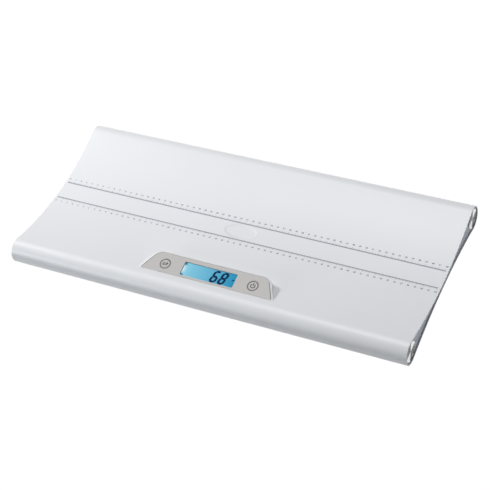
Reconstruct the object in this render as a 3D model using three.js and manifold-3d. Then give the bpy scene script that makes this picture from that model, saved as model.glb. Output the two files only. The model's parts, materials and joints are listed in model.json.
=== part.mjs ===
// Digital baby weighing scale: a hollow tray with a round edge front and rear, a raised display
// console on the front edge, a bar load cell over each foot, and a battery box in the front edge.
// Millimetres. X runs along the tray, +Y to its rear edge, +Z up. The pads rest on z = 0.
import * as THREE from 'three';
import { mergeVertices } from 'three/addons/utils/BufferGeometryUtils.js';
import Module from 'manifold-3d';

const wasm = await Module();
wasm.setup();

// Tray section
const trayLength = 630;
const trayDepth = 285;
const bulbRadius = 19;
const valleyRise = 0.6;
const webThickness = 7.5;
const wall = 2.2;
const webRibs = 5;
const footDrop = 3;
const gap = 0.3;
const overrun = 4;
const notchDepth = 26;

// End caps and their metal discs
const capRecess = 2;
const capPlate = 3;
const plugWall = 2;
const plugLength = 7;
const discRadius = 15;
const discThickness = 1.6;
const discDish = 0.7;
const discRim = 1.2;
const discSeat = 1;

// Load cells, their spacers, screws and feet
const footInset = 50;
const cellLength = 60;
const cellWidth = 12.7;
const cellHeight = 12.7;
const cellLift = 8;
const cellEnd = 10;
const beamHoleRadius = 4.2;
const beamHoleSpan = 15;
const beamSlot = 2;
const spacerLength = 20;
const padRadius = 8;
const padBase = 2;
const padWall = 1.5;
const padHeight = 4.2;
const padBevel = 0.6;
const footClearance = 0.8;
const footDisc = 3.7;
const footNeckRadius = 4;
const studRadius = 2;
const studLength = 8;
const cellScrewRadius = 2;
const cellScrewHead = 3.8;
const cellScrewSink = 1.8;
const cellScrewRecess = 0.5;
const cellScrewReach = 7;

// Console on the rear slope of the front bulb
const consoleTilt = 8 * Math.PI / 180;
const consoleSetback = 11.5;
const consoleLift = 1.1;
const consoleFrontWidth = 219;
const consoleRearWidth = 181.5;
const consoleDepth = 35;
const consoleCorner = 13;
const consoleFrontCorner = 1.6;
const consoleReach = 15;
const rimWidth = 1.1;
const skirtWall = 1.2;
const skirtReach = 11;
const pocketReach = 12;
const leadSlotReach = 18.5;
const leadSlotDepth = 9;
const hookWidth = 8;
const hookReach = 1.2;
const hookTop = 7.2;
const hookHeight = 2;
const hookSpacing = 60;

// Faceplate, window and display stack, from the top down
const plateThickness = 1.5;
const windowWidth = 84.6;
const windowDepth = 22.6;
const windowMiddle = 16.1;
const windowCorner = 2;
const windowSink = 0.2;
const glassMargin = 0.5;
const glassEnd = 1;
const glassThickness = 2.2;
const backlightThickness = 2.9;
const frameWall = 0.8;
const frameTop = 0.6;
const boardThickness = 1.6;
const boardDrop = 8.4;

// Keys and their switches
const keySpacing = 140.8;
const keyMiddle = 15.9;
const keyRadius = 8.2;
const keyFlange = 1.3;
const keyFlangeHeight = 1;
const keyStemRadius = 2;
const keyStemEnd = 4;
const keyTravel = 0.6;
const switchSide = 6;
const switchHeight = 3.1;
const plungerRadius = 1.5;
const plungerLength = 2.3;

// Board screws and chip
const lugRadius = 3.3;
const lugFrontInset = 5.6;
const lugFrontY = 7;
const lugRearInset = 13;
const lugRearDrop = 5.6;
const boardScrewRadius = 1.1;
const boardScrewHead = 2.2;
const boardScrewHeadHeight = 1.4;
const boardScrewReach = 4.6;
const chipSide = 8;
const chipHeight = 1;

// Battery box in the front bulb
const hatchLength = 100;
const hatchWidth = 24.4;
const hatchDepth = 8;
const hatchClearance = 0.5;
const batteryRadius = 5.25;
const batteryBody = 43.6;
const nubRadius = 1.9;
const nubLength = 0.9;
const rowOffset = 5.9;
const holderLift = 8.9;
const holderWall = 1.6;
const holderEnd = 1.6;
const contactThickness = 0.4;
const contactHeight = 6;
const contactHalf = 3;
const leafDepth = 2.2;
const barrelOffset = 9.8;
const barrelRadius = 1.9;
const pinRadius = 0.9;
const pinLength = 2.4;
const notchRadius = 7;
const notchBite = 2.5;

// Leads from the load cells to the board
const leadRadius = 0.9;
const leadHigh = 9;
const leadLow = 4;
const leadTurn = 12;
const leadSpacing = 5;
const leadEndReach = 39;
const leadEndSpacing = 6;
const leadEndY = 4.6;
const leadDip = 4;
const batteryLeadStep = 9;

// Steps in the round stretches
const bulbSteps = 26;
const archSteps = 16;
const ringSteps = 20;
const smallSteps = 12;
const cornerSteps = 5;
const leadSides = 8;
const leadStepsEach = 3;

// Sizes worked out from those above
const halfLength = trayLength / 2;
const bulbHeight = footDrop + bulbRadius;
const bulbReach = trayDepth / 2 - bulbRadius;
const boreRadius = bulbRadius - wall;
const valleyHeight = bulbHeight + valleyRise;
const undersideHeight = valleyHeight - webThickness;
const valleyRadius = touchingRadius(valleyRise);
const undersideRadius = touchingRadius(bulbHeight - undersideHeight);
const valleyCentre = valleyHeight + valleyRadius;
const undersideCentre = undersideHeight - undersideRadius;
const footX = halfLength - footInset;
const cellOuterX = footX + cellEnd;
const cellFloor = footDrop + cellLift;
const cellInnerX = cellOuterX - cellLength;
const cellScrewX = cellInnerX + cellEnd;
const consoleY = consoleSetback - bulbReach;
const consoleZ = bulbHeight + consoleLift + Math.sqrt(bulbRadius ** 2 - consoleSetback ** 2);
const plateInset = rimWidth + gap;
const skirtInset = rimWidth + 2 * gap;
const cavityInset = skirtInset + skirtWall;
const ledgeDrop = plateThickness + gap;
const glassDrop = ledgeDrop + frameTop + gap;
const backlightDrop = glassDrop + glassThickness + gap;
const frameBottom = boardDrop - gap;
const glassFront = windowMiddle - windowDepth / 2 - glassMargin;
const glassRear = windowMiddle + windowDepth / 2 + glassMargin;
const glassHalf = windowWidth / 2 + glassEnd;
const batteryLength = batteryBody + nubLength;
const batteryHeight = bulbHeight
  - Math.sqrt((boreRadius - batteryRadius - 2 * gap) ** 2 - rowOffset ** 2);
const cradleRadius = batteryRadius + gap;
const holderFloor = footDrop + holderLift;
const holderTop = batteryHeight + cradleRadius + holderWall;
const holderInner = batteryLength + (leafDepth + 5 * gap) / 2 + contactThickness;
const holderLength = 2 * (holderInner + holderEnd);
const leadEndX = holderLength / 2 + leadEndReach;
const hatchHalf = hatchLength / 2 - hatchClearance;
const barrelY = -bulbReach + barrelOffset;
const barrelZ = (undersideCentre + Math.sqrt(undersideRadius ** 2 - barrelY ** 2)
  + bulbHeight - Math.sqrt(boreRadius ** 2 - barrelOffset ** 2)) / 2;

const white = { color: 0xe9eaec, roughness: 0.42, metalness: 0 };
const capGrey = { color: 0x7b828c, roughness: 0.5, metalness: 0 };
const plateGrey = { color: 0xc8c6c3, roughness: 0.5, metalness: 0 };
const keyGrey = { color: 0xc4c2bf, roughness: 0.5, metalness: 0 };
const clear = { color: 0xbfe3f2, roughness: 0.05, metalness: 0, transparent: true, opacity: 0.35 };
const blueGlow = { color: 0x3aa6dd, roughness: 0.2, metalness: 0 };
const lightGuide = { color: 0xeaf6ff, roughness: 0.4, metalness: 0 };
const boardGreen = { color: 0x1f6b45, roughness: 0.5, metalness: 0 };
const black = { color: 0x1c1d1f, roughness: 0.5, metalness: 0 };
const brightMetal = { color: 0xd9dbde, roughness: 0.25, metalness: 1 };
const cellMetal = { color: 0xb4b8bc, roughness: 0.4, metalness: 1 };
const screwMetal = { color: 0x9a9da1, roughness: 0.35, metalness: 1 };
const rubberGrey = { color: 0x3a3c40, roughness: 0.85, metalness: 0 };
const holderBlack = { color: 0x2a2c2f, roughness: 0.6, metalness: 0 };
const batteryGreen = { color: 0x2f7d5b, roughness: 0.35, metalness: 0.2 };
const leadWhite = { color: 0xd8d8d4, roughness: 0.6, metalness: 0 };

// Radius of an arc centred on y = 0 that passes this far above (or, mirrored, below) the bulbs'
// centre line and touches both bulbs.
function touchingRadius(rise) {
  return (bulbReach ** 2 + rise ** 2 - bulbRadius ** 2) / (2 * (bulbRadius - rise));
}

function arc(x, y, radius, from, to, steps) {
  const points = [];
  for (let i = 0; i <= steps; i += 1) {
    const angle = from + (to - from) * i / steps;
    points.push(new THREE.Vector2(x + radius * Math.cos(angle), y + radius * Math.sin(angle)));
  }
  return points;
}

function circle(x, y, radius, steps) {
  return arc(x, y, radius, 0, 2 * Math.PI, steps).slice(0, -1);
}

// A convex outline, anticlockwise, whose corners are given as x, y and corner radius.
function rounded(corners) {
  const points = [];
  corners.forEach(([x, y, radius], i) => {
    const corner = new THREE.Vector2(x, y);
    const [px, py] = corners[(i + corners.length - 1) % corners.length];
    const [nx, ny] = corners[(i + 1) % corners.length];
    const toLast = new THREE.Vector2(px, py).sub(corner).normalize();
    const toNext = new THREE.Vector2(nx, ny).sub(corner).normalize();
    const half = Math.acos(toLast.dot(toNext)) / 2;
    const inward = toLast.clone().add(toNext).normalize();
    const centre = corner.clone().addScaledVector(inward, radius / Math.sin(half));
    const start = Math.atan2(toLast.x, -toLast.y);
    const turn = Math.PI - 2 * half;
    points.push(...arc(centre.x, centre.y, radius, start, start + turn, cornerSteps));
  });
  return points;
}

function rectangle(x0, y0, x1, y1) {
  return [[x0, y0], [x1, y0], [x1, y1], [x0, y1]].map(([x, y]) => new THREE.Vector2(x, y));
}

// The tray's section in Y and Z, drawn in from the outside by inset.
function trayOutline(inset) {
  const lift = Math.atan2(valleyCentre - bulbHeight, bulbReach);
  const drop = Math.atan2(bulbHeight - undersideCentre, bulbReach);
  const radius = bulbRadius - inset;
  return [
    arc(bulbReach, bulbHeight, radius, drop - Math.PI, Math.PI - lift, bulbSteps),
    arc(0, valleyCentre, valleyRadius + inset, -lift, lift - Math.PI, archSteps),
    arc(-bulbReach, bulbHeight, radius, lift, 2 * Math.PI - drop, bulbSteps),
    arc(0, undersideCentre, undersideRadius + inset, Math.PI - drop, drop, archSteps),
  ].flatMap((part) => part.slice(1));
}

// One hollow between two of the web's ribs.
function webHollow(near, far) {
  const top = valleyRadius + wall;
  const bottom = undersideRadius + wall;
  const angle = (y, radius) => Math.acos(y / radius);
  return [
    ...arc(0, undersideCentre, bottom, angle(near, bottom), angle(far, bottom), cornerSteps),
    ...arc(0, valleyCentre, top, -angle(far, top), -angle(near, top), cornerSteps),
  ];
}

// An outline with slanted sides: half widths and y at the front and at the rear, drawn in by inset.
function tapered(frontHalf, rearHalf, front, rear, inset, frontRadius, rearRadius) {
  const slope = (frontHalf - rearHalf) / (rear - front);
  const half = (y) => frontHalf - (y - front) * slope - inset * Math.hypot(1, slope);
  const near = front + inset;
  const far = rear - inset;
  return rounded([
    [-half(near), near, frontRadius],
    [half(near), near, frontRadius],
    [half(far), far, rearRadius],
    [-half(far), far, rearRadius],
  ]);
}

function consoleOutline(inset) {
  const frontRadius = Math.max(consoleFrontCorner - inset / 2, consoleFrontCorner / 4);
  return tapered(consoleFrontWidth / 2, consoleRearWidth / 2, 0, consoleDepth, inset,
    frontRadius, consoleCorner - inset);
}

// Half the console's width at y, drawn in square to its slanted side by inset.
function consoleSide(y, inset) {
  const slope = (consoleFrontWidth - consoleRearWidth) / 2 / consoleDepth;
  return consoleFrontWidth / 2 - y * slope - inset * Math.hypot(1, slope);
}

function windowOutline(inset) {
  return tapered(windowWidth / 2, windowWidth / 2, windowMiddle - windowDepth / 2,
    windowMiddle + windowDepth / 2, inset, windowCorner, windowCorner);
}

function prism(outline, holes, depth) {
  const shape = new THREE.Shape(outline);
  shape.holes = holes.map((hole) => new THREE.Path(hole));
  return new THREE.ExtrudeGeometry(shape, { depth, bevelEnabled: false });
}

// Extrusions of an outline along X (drawn in Y and Z), along Y (drawn in X and Z) and along Z.
function alongX(outline, holes, from, to) {
  const turn = new THREE.Matrix4().makeBasis(
    new THREE.Vector3(0, 1, 0), new THREE.Vector3(0, 0, 1), new THREE.Vector3(1, 0, 0));
  return prism(outline, holes, to - from).applyMatrix4(turn).translate(from, 0, 0);
}

function alongY(outline, holes, from, to) {
  return prism(outline, holes, to - from).rotateX(Math.PI / 2).translate(0, to, 0);
}

function alongZ(outline, holes, from, to) {
  return prism(outline, holes, to - from).translate(0, 0, from);
}

// A turned piece about Z; its profile lists radius and height from the axis round to the axis.
function turned(profile, steps) {
  const points = profile.map(([radius, height]) => new THREE.Vector2(radius, height));
  return new THREE.LatheGeometry(points, steps).rotateX(Math.PI / 2);
}

function cylinder(radius, from, to, steps) {
  return turned([[0, from], [radius, from], [radius, to], [0, to]], steps);
}

function block(x0, y0, z0, x1, y1, z1) {
  return new THREE.BoxGeometry(x1 - x0, y1 - y0, z1 - z0)
    .translate((x0 + x1) / 2, (y0 + y1) / 2, (z0 + z1) / 2);
}

function solid(geometry) {
  const bare = geometry.clone();
  bare.deleteAttribute('normal');
  bare.deleteAttribute('uv');
  const merged = mergeVertices(bare);
  const index = Array.from(merged.index.array);
  const triVerts = [];
  for (let i = 0; i < index.length; i += 3) {
    const [a, b, c] = index.slice(i, i + 3);
    if (a !== b && b !== c && c !== a) triVerts.push(a, b, c);
  }
  return new wasm.Manifold(new wasm.Mesh({
    numProp: 3,
    vertProperties: new Float32Array(merged.attributes.position.array),
    triVerts: new Uint32Array(triVerts),
  }));
}

function geometryOf(body) {
  const mesh = body.getMesh();
  const geometry = new THREE.BufferGeometry();
  geometry.setAttribute('position', new THREE.BufferAttribute(new Float32Array(mesh.vertProperties), 3));
  geometry.setIndex(new THREE.BufferAttribute(new Uint32Array(mesh.triVerts), 1));
  const flat = geometry.toNonIndexed();
  flat.computeVertexNormals();
  return flat;
}

// Joins every geometry in add to the first one and cuts every geometry in cut from the result.
function shaped(geometry, add, cut) {
  let body = solid(geometry);
  add.forEach((piece) => {
    body = body.add(solid(piece));
  });
  cut.forEach((piece) => {
    body = body.subtract(solid(piece));
  });
  return geometryOf(body);
}

function piece(parent, name, geometry, finish) {
  const mesh = new THREE.Mesh(geometry, new THREE.MeshStandardMaterial(finish));
  mesh.name = name;
  parent.add(mesh);
  return mesh;
}

const scale = new THREE.Group();
const consoleGroup = new THREE.Group();
consoleGroup.position.set(0, consoleY, consoleZ);
consoleGroup.rotation.x = consoleTilt;
consoleGroup.updateMatrix();
scale.add(consoleGroup);

const corners = [];
for (const [endName, end] of [['left', -1], ['right', 1]]) {
  for (const [edgeName, edge] of [['front', -1], ['rear', 1]]) {
    corners.push({ name: `${edgeName}_${endName}`, end, edge, y: edge * bulbReach });
  }
}

// Screw that holds a load cell, head down, and the hole that clears it.
function cellScrewProfile(clearance) {
  const head = footDrop + cellScrewRecess;
  const start = clearance > 0 ? head - overrun : head;
  return [
    [0, start],
    [cellScrewHead + clearance, start],
    [cellScrewHead + clearance, head],
    [cellScrewRadius + clearance, head + cellScrewSink],
    [cellScrewRadius + clearance, cellFloor + cellScrewReach + clearance],
    [0, cellFloor + cellScrewReach + clearance],
  ];
}

function cellScrewHole({ end, y }) {
  return turned(cellScrewProfile(gap), smallSteps).translate(end * cellScrewX, y, 0);
}

function trayGeometry() {
  const webEnd = bulbReach - bulbRadius;
  const pitch = (2 * webEnd + wall) / (webRibs + 1);
  const hollows = [circle(-bulbReach, bulbHeight, boreRadius, ringSteps),
    circle(bulbReach, bulbHeight, boreRadius, ringSteps)];
  for (let i = 0; i <= webRibs; i += 1) {
    const near = -webEnd + i * pitch;
    hollows.push(webHollow(near, near + pitch - wall));
  }
  const body = alongX(trayOutline(0), hollows, -halfLength, halfLength);
  const openTop = consoleOutline(plateInset);
  const leadHalf = consoleFrontWidth / 2 - consoleCorner;
  const cuts = [
    alongZ(openTop, [], -pocketReach, overrun).applyMatrix4(consoleGroup.matrix),
    block(-leadHalf, plateInset, -leadSlotReach, leadHalf, plateInset + leadSlotDepth, 0)
      .applyMatrix4(consoleGroup.matrix),
    block(-hatchLength / 2, -bulbReach - hatchWidth / 2, -overrun,
      hatchLength / 2, -bulbReach + hatchWidth / 2, footDrop + hatchDepth),
  ];
  for (const end of [-1, 1]) {
    const from = end < 0 ? -halfLength - overrun : halfLength - notchDepth;
    cuts.push(alongX(trayOutline(wall + gap), [], from, from + notchDepth + overrun));
    const pinStart = end < 0 ? -hatchLength / 2 - pinLength : hatchLength / 2 - overrun;
    cuts.push(alongX(circle(barrelY, barrelZ, pinRadius + gap, smallSteps), [],
      pinStart, pinStart + pinLength + overrun));
  }
  corners.forEach((corner) => {
    cuts.push(cellScrewHole(corner));
    cuts.push(cylinder(padRadius + footClearance, -overrun, bulbHeight - boreRadius + overrun, ringSteps)
      .translate(corner.end * footX, corner.y, 0));
  });
  return shaped(body, [], cuts);
}

function buildTray() {
  piece(scale, 'tray_profile', trayGeometry(), white);
}

// The cap's plate fills the end of the section, and a plug in each bulb locates it.
function buildEndCaps() {
  const inset = wall + 2 * gap;
  const plugRadius = bulbRadius - inset;
  const outer = halfLength - capRecess;
  const plate = alongX(trayOutline(inset), [], outer - capPlate, outer);
  const plugs = [-bulbReach, bulbReach].map((y) => alongX(
    circle(y, bulbHeight, plugRadius, ringSteps),
    [circle(y, bulbHeight, plugRadius - plugWall, ringSteps)],
    outer - capPlate - plugLength, outer - capPlate / 2));
  const seats = [-bulbReach, bulbReach].map((y) => alongX(
    circle(y, bulbHeight, discRadius + gap, ringSteps), [], outer - discSeat, outer + overrun));
  const geometry = shaped(plate, plugs, seats);
  piece(scale, 'end_cap_right', geometry, capGrey);
  piece(scale, 'end_cap_left', geometry.clone(), capGrey).rotation.z = Math.PI;
}

function buildDiscs() {
  const back = halfLength - capRecess - discSeat + gap;
  const profile = [
    [0, 0],
    [discRadius, 0],
    [discRadius, discThickness],
    [discRadius - discRim, discThickness],
    [discRadius - 2 * discRim, discThickness - discDish / 2],
    [0, discThickness - discDish],
  ];
  corners.forEach(({ name, end, y }) => {
    const disc = piece(scale, `cap_disc_${name}`, turned(profile, ringSteps), brightMetal);
    disc.rotation.y = end * Math.PI / 2;
    disc.position.set(end * back, y, bulbHeight);
  });
}

// A binocular hole through the beam leaves the two thin webs that bend.
function beamHole(middle) {
  const open = Math.asin(beamSlot / 2 / beamHoleRadius);
  const height = cellFloor + cellHeight / 2;
  return [
    ...arc(middle - beamHoleSpan / 2, height, beamHoleRadius, open, 2 * Math.PI - open, smallSteps),
    ...arc(middle + beamHoleSpan / 2, height, beamHoleRadius, open - Math.PI, Math.PI - open, smallSteps),
  ];
}

function buildCells() {
  corners.forEach((corner) => {
    const { name, end, y } = corner;
    const inner = Math.min(end * cellInnerX, end * cellOuterX);
    const bar = alongY(rectangle(inner, cellFloor, inner + cellLength, cellFloor + cellHeight),
      [beamHole(inner + cellLength / 2)], y - cellWidth / 2, y + cellWidth / 2);
    const studHole = cylinder(studRadius + gap, cellFloor - overrun, cellFloor + studLength + gap, smallSteps)
      .translate(end * footX, y, 0);
    piece(scale, `load_cell_${name}`, shaped(bar, [], [studHole, cellScrewHole(corner)]), cellMetal);
    piece(scale, `cell_spacer_${name}`, spacerGeometry(corner), holderBlack);
    piece(scale, `cell_screw_${name}`, turned(cellScrewProfile(0), smallSteps), screwMetal)
      .position.set(end * cellScrewX, y, 0);
  });
}

// The spacer's foot follows the bore of the bulb, and its top is flat under the load cell.
function spacerGeometry(corner) {
  const half = Math.asin(cellWidth / 2 / (boreRadius - gap));
  const outline = [
    ...arc(corner.y, bulbHeight, boreRadius - gap, -Math.PI / 2 - half, -Math.PI / 2 + half, cornerSteps),
    new THREE.Vector2(corner.y + cellWidth / 2, cellFloor - gap),
    new THREE.Vector2(corner.y - cellWidth / 2, cellFloor - gap),
  ];
  const from = corner.end * cellScrewX - spacerLength / 2;
  return shaped(alongX(outline, [], from, from + spacerLength), [], [cellScrewHole(corner)]);
}

function buildFeet() {
  const discEdge = padRadius - padWall - gap;
  const foot = [
    [0, padBase + gap],
    [discEdge, padBase + gap],
    [discEdge, padBase + gap + footDisc],
    [footNeckRadius, padBase + gap + footDisc],
    [footNeckRadius, cellFloor - gap],
    [studRadius, cellFloor - gap],
    [studRadius, cellFloor + studLength],
    [0, cellFloor + studLength],
  ];
  const pad = [
    [0, 0],
    [padRadius - padBevel, 0],
    [padRadius, padBevel],
    [padRadius, padHeight],
    [padRadius - padWall, padHeight],
    [padRadius - padWall, padBase],
    [0, padBase],
  ];
  corners.forEach(({ name, end, y }) => {
    piece(scale, `foot_${name}`, turned(foot, ringSteps), black).position.set(end * footX, y, 0);
    piece(scale, `foot_pad_${name}`, turned(pad, ringSteps), rubberGrey).position.set(end * footX, y, 0);
  });
}

function lugPlaces() {
  const rearY = consoleDepth - lugRearDrop;
  const frontX = consoleSide(lugFrontY, lugFrontInset);
  const rearX = consoleSide(rearY, lugRearInset);
  return [[-frontX, lugFrontY], [frontX, lugFrontY], [rearX, rearY], [-rearX, rearY]];
}

// The walls stand on the tray, and a thin skirt with snap hooks reaches down through its opening.
function buildHousing() {
  const trayAround = alongX(trayOutline(-gap), [], -halfLength, halfLength)
    .applyMatrix4(consoleGroup.matrix.clone().invert());
  const walls = shaped(alongZ(consoleOutline(0), [], -consoleReach, 0), [], [trayAround]);
  const hooks = [-hookSpacing, 0, hookSpacing].map((x) => block(
    x - hookWidth / 2, skirtInset - hookReach, -hookTop - hookHeight,
    x + hookWidth / 2, cavityInset, -hookTop));
  const lugs = lugPlaces().map(([x, y]) => cylinder(lugRadius, -frameBottom, -plateThickness, smallSteps)
    .translate(x, y, 0));
  const skirt = alongZ(consoleOutline(skirtInset), [consoleOutline(cavityInset)],
    -skirtReach, -plateThickness);
  const cavity = alongZ(consoleOutline(cavityInset), [], -consoleReach - overrun, overrun);
  const pocket = alongZ(consoleOutline(rimWidth), [], -ledgeDrop, overrun);
  const screwHoles = lugPlaces().map(([x, y]) => cylinder(boardScrewRadius + gap,
    -frameBottom - overrun, -frameBottom + boardScrewReach + gap, smallSteps).translate(x, y, 0));
  const shell = shaped(walls, [], [cavity]);
  piece(consoleGroup, 'console_housing',
    shaped(shell, [skirt, ...hooks, ...lugs], [pocket, ...screwHoles]), white);
}

function keyPlaces() {
  return [['unit', -keySpacing / 2], ['power', keySpacing / 2]];
}

function buildFace() {
  const keyHoles = keyPlaces().map(([, x]) => circle(x, keyMiddle, keyRadius + gap, ringSteps));
  piece(consoleGroup, 'faceplate',
    alongZ(consoleOutline(plateInset), [windowOutline(0), ...keyHoles], -plateThickness, 0), plateGrey);
  piece(consoleGroup, 'display_window',
    alongZ(windowOutline(gap), [], -plateThickness, -windowSink), clear);
}

function buildDisplay() {
  const pocketHalf = glassHalf + gap;
  const pocketFront = glassFront - gap;
  const pocketRear = glassRear + gap;
  const frame = block(-pocketHalf - frameWall, pocketFront - frameWall, -frameBottom,
    pocketHalf + frameWall, pocketRear + frameWall, -ledgeDrop);
  const stackRoom = block(-pocketHalf, pocketFront, -frameBottom - overrun,
    pocketHalf, pocketRear, -ledgeDrop - frameTop);
  const view = alongZ(windowOutline(0), [], -frameBottom, overrun);
  piece(consoleGroup, 'display_frame', shaped(frame, [], [stackRoom, view]), black);
  piece(consoleGroup, 'lcd_panel', block(-glassHalf, glassFront, -glassDrop - glassThickness,
    glassHalf, glassRear, -glassDrop), blueGlow);
  piece(consoleGroup, 'backlight', block(-glassHalf, glassFront, -backlightDrop - backlightThickness,
    glassHalf, glassRear, -backlightDrop), lightGuide);
}

function buildBoard() {
  const holes = lugPlaces().map(([x, y]) => circle(x, y, boardScrewRadius + gap, smallSteps));
  const underside = -boardDrop - boardThickness;
  const board = alongZ(consoleOutline(cavityInset + gap), holes, underside, -boardDrop);
  piece(consoleGroup, 'main_board', board, boardGreen);
  const chip = block(-chipSide / 2, -chipSide / 2, -chipHeight, chipSide / 2, chipSide / 2, 0);
  piece(consoleGroup, 'controller_chip', chip, black).position.set(0, keyMiddle, underside - gap);
  const head = underside - gap;
  const screw = turned([
    [0, head - boardScrewHeadHeight],
    [boardScrewHead, head - boardScrewHeadHeight],
    [boardScrewHead, head],
    [boardScrewRadius, head],
    [boardScrewRadius, -frameBottom + boardScrewReach],
    [0, -frameBottom + boardScrewReach],
  ], smallSteps);
  lugPlaces().forEach(([x, y], i) => {
    piece(consoleGroup, `board_screw_${i + 1}`, screw.clone(), screwMetal).position.set(x, y, 0);
  });
}

function buildKeys() {
  const flangeTop = -ledgeDrop;
  const cap = [
    [0, -keyStemEnd],
    [keyStemRadius, -keyStemEnd],
    [keyStemRadius, flangeTop - keyFlangeHeight],
    [keyRadius + keyFlange, flangeTop - keyFlangeHeight],
    [keyRadius + keyFlange, flangeTop],
    [keyRadius, flangeTop],
    [keyRadius, 0],
    [0, 0],
  ];
  const plungerTop = -keyStemEnd - gap;
  const switchTop = gap - boardDrop + switchHeight;
  const bore = cylinder(plungerRadius + gap, plungerTop - plungerLength - keyTravel - gap,
    switchTop + overrun, smallSteps);
  const body = block(-switchSide / 2, -switchSide / 2, gap - boardDrop,
    switchSide / 2, switchSide / 2, switchTop);
  keyPlaces().forEach(([name, x]) => {
    const at = new THREE.Vector3(x, keyMiddle, 0);
    piece(consoleGroup, `${name}_key`, turned(cap, ringSteps), keyGrey).position.copy(at);
    piece(consoleGroup, `${name}_plunger`,
      cylinder(plungerRadius, plungerTop - plungerLength, plungerTop, smallSteps), white).position.copy(at);
    piece(consoleGroup, `${name}_switch`, shaped(body, [], [bore]), black).position.copy(at);
  });
}

// The door is the piece missing from the bulb, with a barrel and two pins along its rear edge.
function buildDoor() {
  const half = hatchWidth / 2 - hatchClearance;
  const section = alongX(trayOutline(0), [], -hatchHalf, hatchHalf);
  const bore = alongX(circle(-bulbReach, bulbHeight, boreRadius, ringSteps), [],
    -hatchHalf - overrun, hatchHalf + overrun);
  const beyond = hatchHalf + overrun;
  const above = block(-beyond, -trayDepth, footDrop + hatchDepth, beyond, trayDepth, trayDepth);
  const ahead = block(-beyond, -trayDepth, 0, beyond, -bulbReach - half, trayDepth);
  const behind = block(-beyond, barrelY, 0, beyond, trayDepth, trayDepth);
  const barrel = alongX(circle(barrelY, barrelZ, barrelRadius, smallSteps), [], -hatchHalf, hatchHalf);
  const pinReach = hatchHalf + pinLength;
  const pins = alongX(circle(barrelY, barrelZ, pinRadius, smallSteps), [], -pinReach, pinReach);
  const thumbNotch = cylinder(notchRadius, -overrun, bulbHeight, ringSteps)
    .translate(0, -bulbReach - half - notchRadius + notchBite, 0);
  const leaf = shaped(section, [], [bore, above, ahead, behind]);
  piece(scale, 'battery_door', shaped(leaf, [barrel, pins], [thumbNotch]), white);
}

// The holder straddles the hatch inside the bulb, and its two cradles open downwards.
function buildHolder() {
  const footHalf = Math.sqrt((boreRadius - gap) ** 2 - (bulbHeight - holderFloor) ** 2);
  const cradle = (y) => [
    new THREE.Vector2(y - cradleRadius, holderFloor),
    ...arc(y, batteryHeight, cradleRadius, Math.PI, 0, smallSteps),
    new THREE.Vector2(y + cradleRadius, holderFloor),
  ];
  const outline = [
    new THREE.Vector2(-bulbReach - footHalf, holderFloor),
    ...cradle(-bulbReach - rowOffset),
    ...cradle(-bulbReach + rowOffset),
    new THREE.Vector2(-bulbReach + footHalf, holderFloor),
    new THREE.Vector2(-bulbReach + footHalf, holderTop),
    new THREE.Vector2(-bulbReach - footHalf, holderTop),
  ];
  const endHalf = rowOffset + cradleRadius;
  const ends = [-1, 1].map((end) => {
    const from = end < 0 ? -holderLength / 2 : holderInner;
    return block(from, -bulbReach - endHalf, holderFloor, from + holderEnd, -bulbReach + endHalf, holderTop);
  });
  const body = alongX(outline, [], -holderLength / 2, holderLength / 2);
  const bridgeRoom = block(holderInner - contactThickness - 2 * gap, -bulbReach - rowOffset, 0,
    holderInner, -bulbReach + rowOffset, batteryHeight + contactHeight / 2 + gap);
  const leadHoles = [-rowOffset, rowOffset].map((y) => alongX(
    circle(y - bulbReach, batteryHeight, leadRadius + gap, smallSteps), [],
    -holderLength / 2 - overrun, 0));
  piece(scale, 'battery_holder', shaped(body, ends, [bridgeRoom, ...leadHoles]), holderBlack);
}

// A strip that stands against the holder's end; a row with depth has a spring leaf.
function contact(name, end, rows) {
  const out = [];
  const back = [];
  rows.forEach(([y, depth]) => {
    [[y - contactHalf, 0], [y, depth], [y + contactHalf, 0]].forEach(([py, px]) => {
      out.push(new THREE.Vector2(px + contactThickness, py));
      back.unshift(new THREE.Vector2(px, py));
    });
  });
  const strip = alongZ([...out, ...back], [], batteryHeight - contactHeight / 2,
    batteryHeight + contactHeight / 2);
  const mesh = piece(scale, name, strip, brightMetal);
  mesh.position.set(end * (holderInner - gap), -bulbReach, 0);
  mesh.rotation.z = end > 0 ? Math.PI : 0;
}

function buildContacts() {
  contact('contact_bridge', 1, [[-rowOffset, 0], [rowOffset, leafDepth]]);
  contact('contact_plus', -1, [[-rowOffset, 0]]);
  contact('contact_minus', -1, [[rowOffset, leafDepth]]);
}

function buildBatteries() {
  const cell = [
    [0, 0],
    [batteryRadius, 0],
    [batteryRadius, batteryBody],
    [nubRadius, batteryBody],
    [nubRadius, batteryLength],
    [0, batteryLength],
  ];
  const firstTip = holderInner - contactThickness - 2 * gap;
  [-1, 1].forEach((row) => {
    [0, 1].forEach((place) => {
      const tip = row * (firstTip - place * (batteryLength + gap));
      const number = (row < 0 ? 1 : 3) + place;
      const mesh = piece(scale, `battery_${number}`, turned(cell, ringSteps), batteryGreen);
      mesh.rotation.y = row * Math.PI / 2;
      mesh.position.set(tip - row * batteryLength, -bulbReach + row * rowOffset, batteryHeight);
    });
  });
}

function lead(name, points) {
  const path = new THREE.CatmullRomCurve3(points.map((p) => new THREE.Vector3(...p)), false, 'centripetal');
  const steps = leadStepsEach * (points.length - 1);
  const shape = new THREE.Shape(circle(0, 0, leadRadius, leadSides));
  const tube = new THREE.ExtrudeGeometry(shape, { steps, extrudePath: path, bevelEnabled: false });
  piece(scale, name, tube, leadWhite);
}

// Middle of the web's hollow at a distance from the tray's centre line.
function webMiddle(y) {
  const top = valleyCentre - Math.sqrt(valleyRadius ** 2 - y ** 2);
  const bottom = undersideCentre + Math.sqrt(undersideRadius ** 2 - y ** 2);
  return (top + bottom) / 2;
}

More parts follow.
